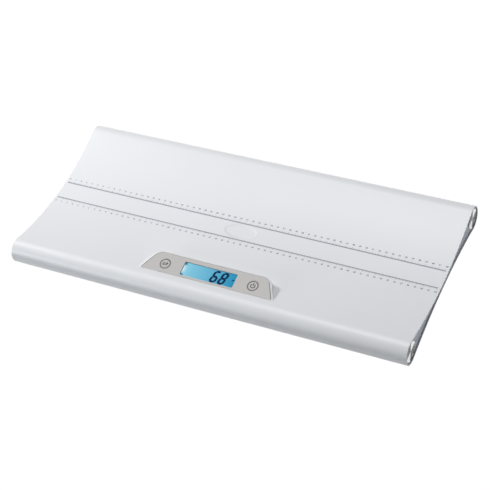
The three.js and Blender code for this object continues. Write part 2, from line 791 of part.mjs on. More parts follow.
// The end of a lead, which comes out of the front bulb, passes under the skirt and rises to the board.
function leadTail(x, away, lane) {
  const height = -boardDrop - boardThickness - gap - leadRadius;
  const [lastX, lastY, lastZ] = new THREE.Vector3(x, leadEndY, height)
    .applyMatrix4(consoleGroup.matrix).toArray();
  return [
    [lastX + away * leadTurn, lane * leadSpacing - bulbReach, bulbHeight - leadLow],
    [lastX + away * leadTurn / 2, lastY - leadTurn / 2, lastZ - leadDip - gap],
    [lastX + away * leadDip / 2, lastY, lastZ - leadDip],
    [lastX, lastY, lastZ],
  ];
}

function buildLeads() {
  const low = bulbHeight - leadLow;
  const high = bulbHeight + leadHigh;
  const start = cellInnerX - gap;
  for (const [name, end] of [['left', -1], ['right', 1]]) {
    lead(`cell_lead_front_${name}`, [
      [end * start, -bulbReach, low],
      [end * (start - leadTurn), -bulbReach, low],
      ...leadTail(end * leadEndX, end, 1),
    ]);
  }
  // The battery leads leave through the end of the holder.
  [['plus', -1], ['minus', 1]].forEach(([name, row], turn) => {
    const y = row * rowOffset - bulbReach;
    const last = (turn - 2) * batteryLeadStep - holderLength / 2;
    lead(`battery_lead_${name}`, [
      [-holderInner, y, batteryHeight],
      [-holderLength / 2 - leadDip, y, batteryHeight],
      ...leadTail(last, -1, row),
    ]);
  });
  // The rear leads run outwards over the rear load cells and cross the web at its left end.
  [['left', -1], ['right', 1]].forEach(([name, end], turn) => {
    const crossX = notchDepth - leadTurn / 2 - turn * leadSpacing - halfLength;
    const y = bulbReach + turn * leadSpacing;
    const webEnd = bulbReach - bulbRadius;
    lead(`cell_lead_rear_${name}`, [
      [end * start, bulbReach, low],
      [end * (start - leadTurn), bulbReach, (low + high) / 2],
      [-start, y, high],
      [crossX + leadTurn, y, high],
      [crossX, webEnd, webMiddle(webEnd)],
      [crossX, 0, webMiddle(0)],
      [crossX, -webEnd, webMiddle(webEnd)],
      [crossX + leadTurn, -y, high],
      [-start, -y, high],
      [leadTurn - start, -y, high],
      ...leadTail((turn + 1) * leadEndSpacing - leadEndX, -1, -turn),
    ]);
  });
}

buildTray();
buildEndCaps();
buildDiscs();
buildCells();
buildFeet();
buildHousing();
buildFace();
buildDisplay();
buildBoard();
buildKeys();
buildDoor();
buildHolder();
buildContacts();
buildBatteries();
buildLeads();

export default scale;
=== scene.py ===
"""Models and finishes the visible pieces of a digital baby weighing scale, as a Blender add-on.

The pieces inside stay as the frame's solids and only get their finish.

Metres. X runs along the tray, +Y to its rear edge, +Z up, and the pads rest on z = 0.
"""
import json
import math

import bmesh
import bpy
from bpy.props import FloatProperty, FloatVectorProperty, IntProperty, PointerProperty, StringProperty
from mathutils import Euler, Matrix, Quaternion, Vector


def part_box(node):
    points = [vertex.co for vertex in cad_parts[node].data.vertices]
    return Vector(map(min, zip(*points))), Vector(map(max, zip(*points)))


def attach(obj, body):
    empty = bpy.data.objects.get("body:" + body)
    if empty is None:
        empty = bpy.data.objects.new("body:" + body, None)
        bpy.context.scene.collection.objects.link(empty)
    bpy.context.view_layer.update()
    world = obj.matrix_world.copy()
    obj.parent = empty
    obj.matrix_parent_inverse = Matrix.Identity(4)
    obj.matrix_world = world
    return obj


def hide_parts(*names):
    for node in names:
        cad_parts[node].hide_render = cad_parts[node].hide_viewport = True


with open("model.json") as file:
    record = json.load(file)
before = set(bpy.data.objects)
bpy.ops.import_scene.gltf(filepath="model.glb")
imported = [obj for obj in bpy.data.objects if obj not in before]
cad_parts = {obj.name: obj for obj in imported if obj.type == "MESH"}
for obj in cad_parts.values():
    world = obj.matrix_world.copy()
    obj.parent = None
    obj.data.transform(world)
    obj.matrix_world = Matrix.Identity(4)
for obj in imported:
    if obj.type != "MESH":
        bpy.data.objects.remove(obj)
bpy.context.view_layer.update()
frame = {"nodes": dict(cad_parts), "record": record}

bl_info = {
    "name": "Baby weighing scale",
    "version": (1, 0, 0),
    "blender": (4, 5, 0),
    "location": "View3D > Sidebar > Baby scale",
    "description": "Models the tray, console, display, keys, rulers and feet of a baby weighing scale",
    "category": "Add Mesh",
}

TRAY_LOW, TRAY_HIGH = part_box("tray_profile")
DISC_LOW, DISC_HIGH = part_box("cap_disc_front_right")
PAD_LOW, PAD_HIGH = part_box("foot_pad_front_right")

# Points closer than TINY are one point, and places closer than NEAR count as the same.
TINY = 1e-6
NEAR = 1e-5
# A face looks along an axis if its normal has more than this of it.
FACING = 0.9
# How far a cutting block reaches past what it cuts, and the height at which prints are drawn.
BEYOND = 0.01
ABOVE = 0.06
# Each light's direction in degrees from +X and above the floor, its side and its colour.
LIGHTS = {
    "key": (168, 36, 0.6, (1, 1, 1)),
    "top": (118, 75, 1.2, (1, 1, 1)),
    "fill": (230, 15, 1.2, (0.96, 0.98, 1.0)),
    "side": (5, 10, 1.2, (0.95, 0.97, 1.0)),
    "back": (75, 12, 1.2, (1, 1, 1)),
}


def length(name, default, description):
    return FloatProperty(name=name, description=description, default=default, min=0.0, unit="LENGTH",
                         precision=5)


def place(name, default, description):
    return FloatProperty(name=name, description=description, default=default, unit="LENGTH", precision=5)


def angle(name, degrees, description):
    return FloatProperty(name=name, description=description, default=math.radians(degrees),
                         subtype="ANGLE", unit="ROTATION")


def share(name, default, description):
    return FloatProperty(name=name, description=description, default=default, min=0.0, max=1.0,
                         subtype="FACTOR")


def colour(name, default, description):
    return FloatVectorProperty(name=name, description=description, default=default, size=3, min=0.0,
                               max=1.0, subtype="COLOR")


def power(name, default, description):
    return FloatProperty(name=name, description=description, default=default, min=0.0, unit="POWER")


class TraySizes(bpy.types.PropertyGroup):
    length: length("Length", TRAY_HIGH.x - TRAY_LOW.x, "Length of the tray along X")
    bulb_y: length("Bulb centre", 0.1235, "Distance of each round edge's centre line from the middle")
    bulb_z: length("Bulb height", 0.022, "Height of each round edge's centre line")
    bulb_radius: length("Bulb radius", 0.019, "Radius of each round edge")
    valley_z: length("Valley height", 0.0226, "Height of the lowest line of the tray's top")
    under_z: length("Underside height", 0.0151, "Height of the highest line of the tray's underside")
    wall: length("Wall", 0.0022, "Thickness of the tray's wall")
    rim_round: length("Rim rounding", 0.00035, "Rounding of the rim at each end")
    colour: colour("Colour", (0.832, 0.845, 0.868), "Colour of the white plastic")


class ConsoleSizes(bpy.types.PropertyGroup):
    tilt: angle("Tilt", 8, "Slope of the console's face, rising to the rear")
    front_y: place("Front edge", -0.112, "Y of the face's front edge")
    front_z: length("Front edge height", 0.038225, "Height of the face's front edge")
    front_width: length("Front width", 0.219, "Width of the console at its front edge")
    rear_width: length("Rear width", 0.1815, "Width of the console at its rear edge")
    depth: length("Depth", 0.035, "Distance from the front edge to the rear edge along the face")
    rear_round: length("Rear rounding", 0.013, "Radius of the rear corners")
    front_round: length("Front rounding", 0.0016, "Radius of the front corners")
    edge_round: length("Edge rounding", 0.0009, "Rounding of the housing's top edge")
    rim: length("Rim", 0.0011, "Width of the housing's rim before and behind the faceplate")
    side_rim: length("Side rim", 0.0034, "Width of the housing's rim at the faceplate's sides")
    side_slope: share("Side slope", 0.85, "Share of the side rim that slopes down")
    crest_round: length("Crest rounding", 0.00036, "Rounding where the rim starts to slope")
    slope_round: length("Slope rounding", 0.00027, "Rounding where the slope meets the wall")
    clearance: length("Clearance", 0.0003, "Gap between fitted pieces")
    seat: length("Seat", 0.0001, "Gap between the housing and the tray that it stands on")
    skirt: length("Skirt wall", 0.0012, "Thickness of the housing's skirt")
    reach: length("Reach", 0.015, "How far the housing reaches down to the tray")
    plate: length("Faceplate", 0.0015, "Thickness of the faceplate")
    plate_round: length("Faceplate rounding", 0.0002, "Rounding of the faceplate's edge")
    opening: length("Opening", 0.0014, "How far the tray's opening lies inside the housing's outline")
    opening_depth: length("Opening depth", 0.012, "How far below the face the tray is cut away")
    colour: colour("Faceplate colour", (0.53, 0.515, 0.50), "Colour of the faceplate and keys")


class DisplaySizes(bpy.types.PropertyGroup):
    width: length("Width", 0.0846, "Width of the window")
    depth: length("Depth", 0.0226, "Depth of the window")
    middle: length("Middle", 0.0161, "Distance of the window's middle from the front edge")
    corner: length("Corner", 0.002, "Radius of the window's corners")
    clearance: length("Clearance", 0.0003, "Gap round the window")
    window_top: length("Window top", 0.0002, "Depth of the window's top below the face")
    window_base: length("Window base", 0.0015, "Depth of the window's underside below the face")
    window_round: length("Window rounding", 0.00015, "Rounding of the window's edge")
    glass_drop: length("Panel depth", 0.0027, "Depth of the liquid-crystal panel below the face")
    glass_thick: length("Panel thickness", 0.0022, "Thickness of the liquid-crystal panel")
    glass_end: length("Panel end", 0.001, "How far the panel reaches past the window at its ends")
    glass_margin: length("Panel margin", 0.0005, "How far it reaches past the window's long sides")
    glass_top: length("Raised glass", 0.0017, "Depth of the panel's raised part below the face")
    digit_height: length("Digit height", 0.0208, "Height of the digits")
    digit_width: length("Digit width", 0.0108, "Width of a digit")
    digit_pitch: length("Digit pitch", 0.0130, "Distance from one digit to the next")
    stroke: length("Stroke", 0.0035, "Width of a digit's segments")
    tip: share("Segment tip", 0.3, "Width of a segment's end, as a share of the stroke")
    gap: share("Segment gap", 0.05, "Gap at a segment's end, as a share of the stroke")
    film: length("Segment film", 0.00012, "Thickness of the dark segments")
    film_lift: length("Segment lift", 0.00001, "Gap between the glass and the segments")
    first_digit: place("First digit", 0.0102, "X of the first digit's middle")
    reading: StringProperty(name="Reading", description="The number that the display shows", default="68")
    slant: angle("Slant", 13, "Lean of the digits")
    mark: length("Mark", 0.0012, "Radius of the small mark behind the digits")
    lamp_length: length("Lamp length", 0.009, "How far the lamp's bright spot reaches along X")
    lamp_depth: length("Lamp depth", 0.0115, "How far the lamp's bright spot reaches along Y")
    shade_x: length("Shade inset", 0.0017, "Distance of each dim corner's middle from the left end")
    shade_y: length("Shade margin", 0.0019, "Distance of each dim corner's middle from the long side")
    shade: length("Shade", 0.0034, "Radius of each dim corner")
    colour: colour("Backlight", (0.12, 0.44, 0.66), "Colour of the lit panel")
    ink: colour("Segments", (0.002, 0.03, 0.10), "Colour of the dark segments")


class KeySizes(bpy.types.PropertyGroup):
    spacing: length("Spacing", 0.1408, "Distance between the two keys")
    middle: length("Middle", 0.0159, "Distance of the keys from the console's front edge")
    radius: length("Radius", 0.0082, "Radius of a key")
    depth: length("Depth", 0.0039, "How far a key reaches down below the face")
    edge_round: length("Edge rounding", 0.0003, "Rounding of a key's edge")
    rim: share("Rim", 0.12, "Width of a key's flat rim, as a share of its radius")
    slope: share("Slope", 0.28, "Width of the slope into the hollow, as a share of the radius")
    dish: length("Dish", 0.00015, "Depth of the hollow in a key's face")
    ring: length("Ring", 0.0010, "Width of the printed ring")
    ring_margin: length("Ring margin", 0.0004, "Distance of the printed ring from the key's edge")
    ring_sink: length("Ring sink", 0.000003, "How far the printed ring is sunk into the key's face")
    film: length("Print", 0.00006, "Thickness of the print")
    power_radius: length("Power radius", 0.0031, "Radius of the power sign's open ring")
    power_width: length("Power width", 0.0014, "Width of the power sign's lines")
    power_gap: angle("Power gap", 38, "Half the opening of the power sign's ring")
    bar_foot: length("Bar foot", 0.0004, "Start of the power sign's bar, from the middle")
    bar_top: length("Bar top", 0.0047, "End of the power sign's bar, from the middle")
    arrow_reach: length("Arrow reach", 0.0038, "Half the length of an arrow")
    arrow_width: length("Arrow width", 0.0010, "Width of an arrow's lines")
    arrow_offset: length("Arrow offset", 0.0012, "Distance of each arrow from the key's middle")
    arrow_head: length("Arrow head", 0.0024, "Length of an arrow head's lines")
    arrow_spread: angle("Arrow spread", 38, "Angle between an arrow's line and its head's")
    ink: colour("Ink", (0.055, 0.055, 0.06), "Colour of the printed ring and symbols")


class RulerSizes(bpy.types.PropertyGroup):
    middle: length("Middle", 0.0046, "Y of the line midway between the rulers")
    line: length("Line", 0.0155, "Distance of each ruler's line from the middle")
    label: length("Labels", 0.0232, "Distance of each row of numbers from the middle")
    labels: IntProperty(name="Numbers", description="How many centimetre marks a ruler has", default=63,
                        min=2)
    step: length("Step", 0.01, "Distance between centimetre marks")
    digit: length("Digit height", 0.0024, "Height of the numbers")
    line_width: length("Line width", 0.0012, "Width of the ruled line")
    overhang: length("Overhang", 0.0012, "How far the ruled line runs past its first and last mark")
    millimetre: length("Millimetre tick", 0.0015, "Reach of a millimetre tick from the line")
    half: length("Half tick", 0.0023, "Reach of a half-centimetre tick from the line")
    centimetre: length("Centimetre tick", 0.0034, "Reach of a centimetre tick from the line")
    tick_width: length("Tick width", 0.0004, "Width of a tick")
    centimetre_width: length("Centimetre width", 0.00052, "Width of a centimetre tick")
    lift: length("Print lift", 0.00002, "Gap between the tray and a print")
    film: length("Print", 0.00004, "Thickness of the print")
    ink: colour("Ink", (0.05, 0.055, 0.075), "Colour of the numbers")
    line_ink: colour("Line ink", (0.26, 0.28, 0.335), "Colour of the lines and ticks")
    oval_length: length("Oval length", 0.053, "Length of the oval between the rulers")
    oval_depth: length("Oval depth", 0.026, "Depth of the oval")
    oval_slope: length("Oval slope", 0.0028, "Width of the slope inside the oval's rim")
    oval_rise: length("Oval rise", 0.00025, "Height of the oval's rim")
    oval_lift: length("Oval lift", 0.00001, "Gap between the tray and the oval's inner edge")
    oval_film: length("Oval thickness", 0.00005, "Thickness of the oval's inner edge")


class FittingSizes(bpy.types.PropertyGroup):
    disc_x: length("Disc back", DISC_LOW.x, "Distance of each metal disc's back from the middle")
    disc_radius: length("Disc radius", (DISC_HIGH.z - DISC_LOW.z) / 2, "Radius of a metal disc")
    disc_thick: length("Disc thickness", DISC_HIGH.x - DISC_LOW.x, "Thickness of a metal disc")
    disc_rim: length("Disc rim", 0.0012, "Width of a disc's raised rim")
    disc_step: length("Disc step", 0.00048, "Width of the slope inside a disc's rim")
    disc_dish: length("Disc dish", 0.0005, "Depth of a disc's dish")
    disc_rings: IntProperty(name="Turned rings", description="How many turned rings a disc's face has",
                            default=8, min=1)
    disc_slope: angle("Ring slope", 14, "Slope of the turned rings' flanks")
    foot_x: length("Foot place", (PAD_LOW.x + PAD_HIGH.x) / 2, "Distance of each foot from the middle")
    pad_radius: length("Pad radius", (PAD_HIGH.x - PAD_LOW.x) / 2, "Radius of a rubber pad")
    pad_height: length("Pad height", PAD_HIGH.z, "Height of a rubber pad")
    pad_base: length("Pad base", 0.002, "Thickness of a pad's base")
    pad_wall: length("Pad wall", 0.0015, "Thickness of a pad's wall")
    pad_round: length("Pad rounding", 0.0006, "Rounding of a pad's lower edge")
    pad_lip: length("Pad lip", 0.0003, "Rounding of a pad's upper edges")
    foot_hole: length("Foot hole", 0.0088, "Radius of the tray's hole round a foot")
    foot_hole_top: length("Foot hole top", 0.0095, "Height up to which a foot's hole is cut")
    screw_x: length("Screw place", 0.225, "Distance of each load cell screw from the middle")
    screw_hole: length("Screw hole", 0.0041, "Radius of the recess over a load cell screw")
    screw_hole_top: length("Screw hole top", 0.0036, "Height up to which a screw's recess is cut")
    hatch_length: length("Hatch length", 0.1, "Length of the battery hatch")
    hatch_width: length("Hatch width", 0.0244, "Width of the battery hatch")
    hatch_top: length("Hatch top", 0.011, "Height up to which the hatch is cut")
    door_end: length("Door end", 0.0495, "Distance of each end of the battery door from the middle")
    door_gap: length("Door gap", 0.0005, "Gap between the door's front edge and the hatch")
    door_round: length("Door rounding", 0.0002, "Rounding of the door's edges")
    hinge_y: place("Hinge place", -0.1137, "Y of the door's hinge line")
    hinge_z: length("Hinge height", 0.006447, "Height of the door's hinge line")
    barrel: length("Hinge barrel", 0.0019, "Radius of the door's hinge barrel")
    pin: length("Hinge pin", 0.0009, "Radius of the door's hinge pins")
    pin_end: length("Pin end", 0.0519, "Distance of each hinge pin's end from the middle")
    notch: length("Notch", 0.007, "Radius of the door's finger notch")
    notch_depth: length("Notch depth", 0.0025, "How far the notch reaches into the door")


class StageSizes(bpy.types.PropertyGroup):
    camera_place: FloatVectorProperty(name="Camera", description="Place of the camera",
                                      default=(0.81739, -1.1079, 1.48689), subtype="XYZ", unit="LENGTH")
    bearing: angle("Bearing", 36.261, "Turn of the camera from +Y towards -X")
    elevation: angle("Elevation", 47.263, "Angle that the camera looks down")
    roll: angle("Roll", -14.703, "Turn of the camera about its own axis")
    lens: FloatProperty(name="Lens", description="Focal length in millimetres on a 36 mm sensor",
                        default=100.95, min=1.0)
    floor: length("Floor", 12.0, "Side of the floor")
    floor_drop: length("Floor drop", 0.0003, "Gap between the floor and the pads")
    floor_colour: colour("Floor colour", (0.44, 0.45, 0.46), "Colour that the floor throws back")
    floor_white: FloatProperty(name="Floor white", description="Strength of the white that the camera sees",
                               default=1.02, min=0.0)
    floor_mirrored: share("Floor in metal", 0.8, "How much of that white shows in metal and gloss")
    world: FloatProperty(name="Surroundings", description="Strength of the light from all round",
                         default=0.05, min=0.0)
    aim: length("Aim height", 0.02, "Height over the middle that the lights face")
    distance: length("Light distance", 3.2, "Distance of each light from the scale")
    key_power: power("Key light", 55.0, "Power of the small light at the left")
    top_power: power("Top light", 44.5, "Power of the high light behind")
    fill_power: power("Fill light", 37.0, "Power of the low light at the front left")
    side_power: power("Side light", 13.0, "Power of the low light at the right")
    back_power: power("Back light", 6.5, "Power of the low light behind")


# Modelling


def clear_selection():
    if bpy.context.mode != "OBJECT":
        bpy.ops.object.mode_set(mode="OBJECT")
    bpy.ops.object.select_all(action="DESELECT")


def only(*objects):
    clear_selection()
    for item in objects:
        item.select_set(True)
    bpy.context.view_layer.objects.active = objects[0]


def new_piece(name):
    made = bpy.context.view_layer.objects.active
    made.name = name
    made.data.name = name
    return made


def edit(piece, everything=False):
    """Opens the piece in edit mode, with all of it selected if asked."""
    only(piece)
    bpy.ops.object.mode_set(mode="EDIT")
    if everything:
        bpy.ops.mesh.select_all(action="SELECT")


def done():
    bpy.ops.object.mode_set(mode="OBJECT")


def choose(piece, kind, test):
    """Selects the vertices, edges or faces of the piece in edit mode for which the test is true."""
    bpy.ops.mesh.select_mode(type=kind)
    bpy.ops.mesh.select_all(action="DESELECT")
    mesh = bmesh.from_edit_mesh(piece.data)
    elements = {"VERT": mesh.verts, "EDGE": mesh.edges, "FACE": mesh.faces}[kind]
    for element in elements:
        if test(element):
            element.select_set(True)
    mesh.select_flush_mode()
    bmesh.update_edit_mesh(piece.data)


def choose_top(piece):
    choose(piece, "FACE", lambda f: f.normal.z > FACING)


def modify(piece, kind, **settings):
    only(piece)
    modifier = piece.modifiers.new(kind.title(), kind)
    for key, value in settings.items():
        setattr(modifier, key, value)
    bpy.ops.object.modifier_apply(modifier=modifier.name)


def boolean(piece, other, operation="DIFFERENCE"):
    """Cuts the other piece from this one, or joins or intersects them, and uses the other piece up."""
    modify(piece, "BOOLEAN", operation=operation, object=other, solver="EXACT")
    bpy.data.objects.remove(other)


def settle(piece):
    """Puts the piece's place, turn and size into its mesh."""
    only(piece)
    bpy.ops.object.transform_apply(location=True, rotation=True, scale=True)


def moved(piece, shift=(0, 0, 0), turn=0.0):
    """Turns a settled piece about the Z axis, and then shifts it."""
    piece.location = shift
    piece.rotation_euler = (0, 0, turn)
    settle(piece)
    return piece


def smooth(piece, degrees=30):
    """Shades the piece smooth, while its large faces keep their own direction beside small bevels."""
    only(piece)
    bpy.ops.object.shade_smooth_by_angle(angle=math.radians(degrees))
    modify(piece, "WEIGHTED_NORMAL", keep_sharp=True, weight=60)


def outward(piece):
    edit(piece, True)
    bpy.ops.mesh.remove_doubles(threshold=TINY)
    bpy.ops.mesh.normals_make_consistent(inside=False)
    done()


def box(name, low, high):
    low, high = Vector(low), Vector(high)
    clear_selection()
    bpy.ops.mesh.primitive_cube_add(size=1, location=(low + high) / 2)
    made = new_piece(name)
    made.scale = high - low
    settle(made)
    return made


def drum(name, radius, low, high, centre=(0, 0, 0), turn=(0, 0, 0), sides=64):
    """A cylinder from low to high along its axis, which stands on the centre and is then turned."""
    clear_selection()
    turned = Euler(turn)
    middle = Vector(centre) + turned.to_matrix() @ Vector((0, 0, (low + high) / 2))
    bpy.ops.mesh.primitive_cylinder_add(vertices=sides, radius=radius, depth=high - low, location=middle,
                                        rotation=turned)
    made = new_piece(name)
    settle(made)
    return made


def sheet(name, x, y, width, depth):
    """A flat rectangle, high over the tray."""
    clear_selection()
    bpy.ops.mesh.primitive_plane_add(size=1, location=(x, y, ABOVE))
    made = new_piece(name)
    made.scale = (width, depth, 1)
    settle(made)
    return made


def copied(piece, name, shift, turn=(0, 0, 0)):
    only(piece)
    bpy.ops.object.duplicate()
    made = new_piece(name)
    made.matrix_world = Matrix.LocRotScale(Vector(shift), Euler(turn), None) @ made.matrix_world
    settle(made)
    return made


def joined(name, pieces):
    only(*pieces)
    bpy.ops.object.join()
    return new_piece(name)


def place_on_console(piece):
    """Moves a piece drawn flat, with its front edge on the X axis, onto the console's face."""
    sizes = bpy.context.scene.console_sizes
    piece.matrix_world = (Matrix.Translation((0, sizes.front_y, sizes.front_z))
                          @ Matrix.Rotation(sizes.tilt, 4, "X") @ piece.matrix_world)
    settle(piece)
    return piece


def finish_piece(piece, body, slot, *replaced, look=None):
    """Gives a piece its finish, named by the look or else by the slot, and its body, and hides the CAD nodes
    that it stands for.
    """
    settle(piece)
    piece.data.materials.clear()
    piece.data.materials.append(looks()[look or slot])
    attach(piece, body)
    if replaced:
        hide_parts(*replaced)


# Shader kit


class Value:
    """A number that varies over a surface: an expression on values adds the Math nodes for it."""

    def __init__(self, look, socket):
        self.look = look
        self.socket = socket

    def _math(self, operation, *others):
        return self.look.math(operation, *others)

    def __add__(self, other):
        return self._math("ADD", self, other)

    __radd__ = __add__

    def __sub__(self, other):
        return self._math("SUBTRACT", self, other)

    def __rsub__(self, other):
        return self._math("SUBTRACT", other, self)

    def __mul__(self, other):
        return self._math("MULTIPLY", self, other)

    __rmul__ = __mul__

    def __truediv__(self, other):
        return self._math("DIVIDE", self, other)

    def __abs__(self):
        return self._math("ABSOLUTE", self)

    def __gt__(self, other):
        return self._math("GREATER_THAN", self, other)

    def sine(self):
        return self._math("SINE", self)

    def root(self):
        return self._math("SQRT", self)

    def limit(self):
        """The value, held between 0 and 1."""
        held = self._math("ADD", self, 0.0)
        held.socket.node.use_clamp = True
        return held


class Look:
    """One material: a Principled shader whose varying sockets are fed by added nodes."""

    def __init__(self, name, **fixed):
        self.material = bpy.data.materials.new(name)
        self.material.use_nodes = True
        self.tree = self.material.node_tree
        self.tree.nodes.clear()
        self.shader = self.add("ShaderNodeBsdfPrincipled")
        self.output = self.add("ShaderNodeOutputMaterial")
        self.tree.links.new(self.shader.outputs[0], self.output.inputs["Surface"])
        for socket, value in fixed.items():
            self.feed(socket.replace("_", " "), value)

    def add(self, kind, settings=None, **inputs):
        node = self.tree.nodes.new(kind)
        for key, value in (settings or {}).items():
            setattr(node, key, value)
        for key, value in inputs.items():
            self.put(node.inputs[key.replace("_", " ")], value)
        return node

    def put(self, socket, value):
        if isinstance(value, Value):
            value = value.socket
        if isinstance(value, bpy.types.NodeSocket):
            self.tree.links.new(value, socket)
        elif isinstance(value, tuple) and len(value) == 3 and socket.type == "RGBA":
            socket.default_value = (*value, 1.0)
        else:
            socket.default_value = value

    def feed(self, socket, value):
        self.put(self.shader.inputs[socket], value)

    def math(self, operation, *terms):
        node = self.add("ShaderNodeMath", {"operation": operation})
        for socket, term in zip(node.inputs, terms):
            self.put(socket, term)
        return Value(self, node.outputs[0])

    def place(self):
        """X, Y and Z on the object."""
        where = self.add("ShaderNodeTexCoord").outputs["Object"]
        parts = self.add("ShaderNodeSeparateXYZ", Vector=where)
        return [Value(self, out) for out in parts.outputs]

    def noise(self, scale, detail=2.0, stretch=(1, 1, 1)):
        where = self.add("ShaderNodeTexCoord").outputs["Object"]
        mapped = self.add("ShaderNodeMapping", Vector=where, Scale=stretch)
        node = self.add("ShaderNodeTexNoise", Vector=mapped.outputs[0], Scale=scale, Detail=detail)
        return Value(self, node.outputs[0])

    def mix(self, factor, first, second):
        """The first colour where the factor is 0, and the second where it is 1."""
        node = self.add("ShaderNodeMix", {"data_type": "RGBA"})
        self.put(node.inputs[0], factor)
        self.put(node.inputs[6], first)
        self.put(node.inputs[7], second)
        return node.outputs[2]

    def ramp(self, value, stops):
        node = self.add("ShaderNodeValToRGB", Fac=value)
        marks = node.color_ramp.elements
        while len(marks) < len(stops):
            marks.new(0.5)
        for mark, (position, shade) in zip(marks, stops):
            mark.position = position
            mark.color = (*shade, 1.0)
        return node.outputs[0]

    def bump(self, height, strength, distance):
        node = self.add("ShaderNodeBump", Strength=strength, Distance=distance, Height=height)
        self.feed("Normal", node.outputs[0])


def tint(base, factor):
    return tuple(min(1.0, part * factor) for part in base)


def plastic(name, base, roughness, grain, grain_depth, variation):
    """Moulded plastic: a fine spark-eroded grain, and colour and gloss that drift slightly."""
    look = Look(name)
    drift = look.noise(scale=9.0, detail=3.0)
    fine = look.noise(scale=grain)
    look.feed("Base Color", look.mix(drift, tint(base, 1 - variation), tint(base, 1 + variation)))
    look.feed("Roughness", (fine * 0.10 + drift * 0.06 + (roughness - 0.08)).limit())
    look.bump(fine, strength=0.35, distance=grain_depth)
    return look.material


def turned_metal(name, base, centre_y, centre_z, roughness):
    """Bare metal faced on a lathe: fine rings round each bulb's centre line, and a painted highlight in its
    colour: the two bright sectors that such rings show, with painted dark flanks between them."""
    radians_per_metre, wobble = 21000.0, 1.5
    # Axis of the painted highlight across and up, where its two bright sectors start and fade, and the share
    # of the colour left in the painted dark flanks.
    lean_across, lean_up = 0.8, 0.6
    highlight_start, highlight_fade = 0.56, 0.3
    painted_dark_share = 0.22
    look = Look(name, Metallic=1.0)
    _, y, z = look.place()
    across = (abs(y) - centre_y) * look.math("SIGN", y)
    up = z - centre_z
    radius = (across * across + up * up).root()
    rings = (radius * radians_per_metre + look.noise(scale=700.0) * wobble).sine()
    along = (across * lean_across + up * lean_up) / radius
    # Painted highlight: the colour is bright along that axis and dark at the flanks, whatever the light.
    painted_highlight = ((along * along - highlight_start) / highlight_fade).limit()
    bright = look.mix(rings * 0.5 + 0.5, tint(base, 0.93), tint(base, 1.06))
    look.feed("Base Color", look.mix(painted_highlight, tint(base, painted_dark_share), bright))
    smudges = look.noise(scale=160.0)
    look.feed("Roughness", (rings * 0.04 + smudges * 0.08 + (roughness - 0.04)).limit())
    look.bump(rings, strength=0.2, distance=0.000008)
    return look.material


def brushed_metal(name, base, roughness, stretch, scale):
    """Bare metal with a grain that runs along the axis with the least stretch."""
    look = Look(name, Metallic=1.0)
    grain = look.noise(scale, detail=3.0, stretch=stretch)
    look.feed("Base Color", look.mix(grain, tint(base, 0.85), tint(base, 1.05)))
    look.feed("Roughness", (grain * 0.22 + (roughness - 0.11)).limit())
    look.bump(grain, strength=0.25, distance=0.00003)
    return look.material


def ink(name, base, roughness=0.55, gloss=0.5):
    """Printed ink, slightly uneven."""
    look = Look(name, Specular_IOR_Level=gloss)
    speckle = look.noise(scale=2600.0)
    look.feed("Base Color", look.mix(speckle, tint(base, 0.9), tint(base, 1.12)))
    look.feed("Roughness", (speckle * 0.15 + (roughness - 0.07)).limit())
    return look.material


def sunk_oval(name, base, sizes):
    """The tray's plastic with painted shade towards the oval's left end, where its slope faces away from the
    light, and painted light towards its right end.
    """
    look = Look(name)
    x, _, _ = look.place()
    along = (x / sizes.oval_length + 0.5).limit()
    # Painted shade and light: the colour is darker at the left end and lighter at the right end.
    look.feed("Base Color", look.mix(along, tint(base, 0.88), tint(base, 1.08)))
    look.feed("Roughness", look.noise(scale=900.0) * 0.1 + 0.36)
    return look.material


def circuit_board(name):
    """Green solder mask with faint copper runs under it, along both sides of the board."""
    run_radians, bend_radians, cross_radians = 2100.0, 900.0, 2600.0
    bend, run_gap, cross_gap = 2.0, 0.72, 0.8
    mask_green, copper_green = (0.012, 0.13, 0.055), (0.03, 0.24, 0.10)
    look = Look(name)
    x, y, _ = look.place()
    along = (x * run_radians + (y * bend_radians).sine() * bend).sine() > run_gap
    across = (y * cross_radians).sine() > cross_gap
    runs = look.math("MAXIMUM", along, across)
    look.feed("Base Color", look.mix(runs, mask_green, copper_green))
    look.feed("Roughness", look.noise(scale=300.0) * 0.2 + 0.25)
    look.bump(runs, strength=0.4, distance=0.00003)
    return look.material


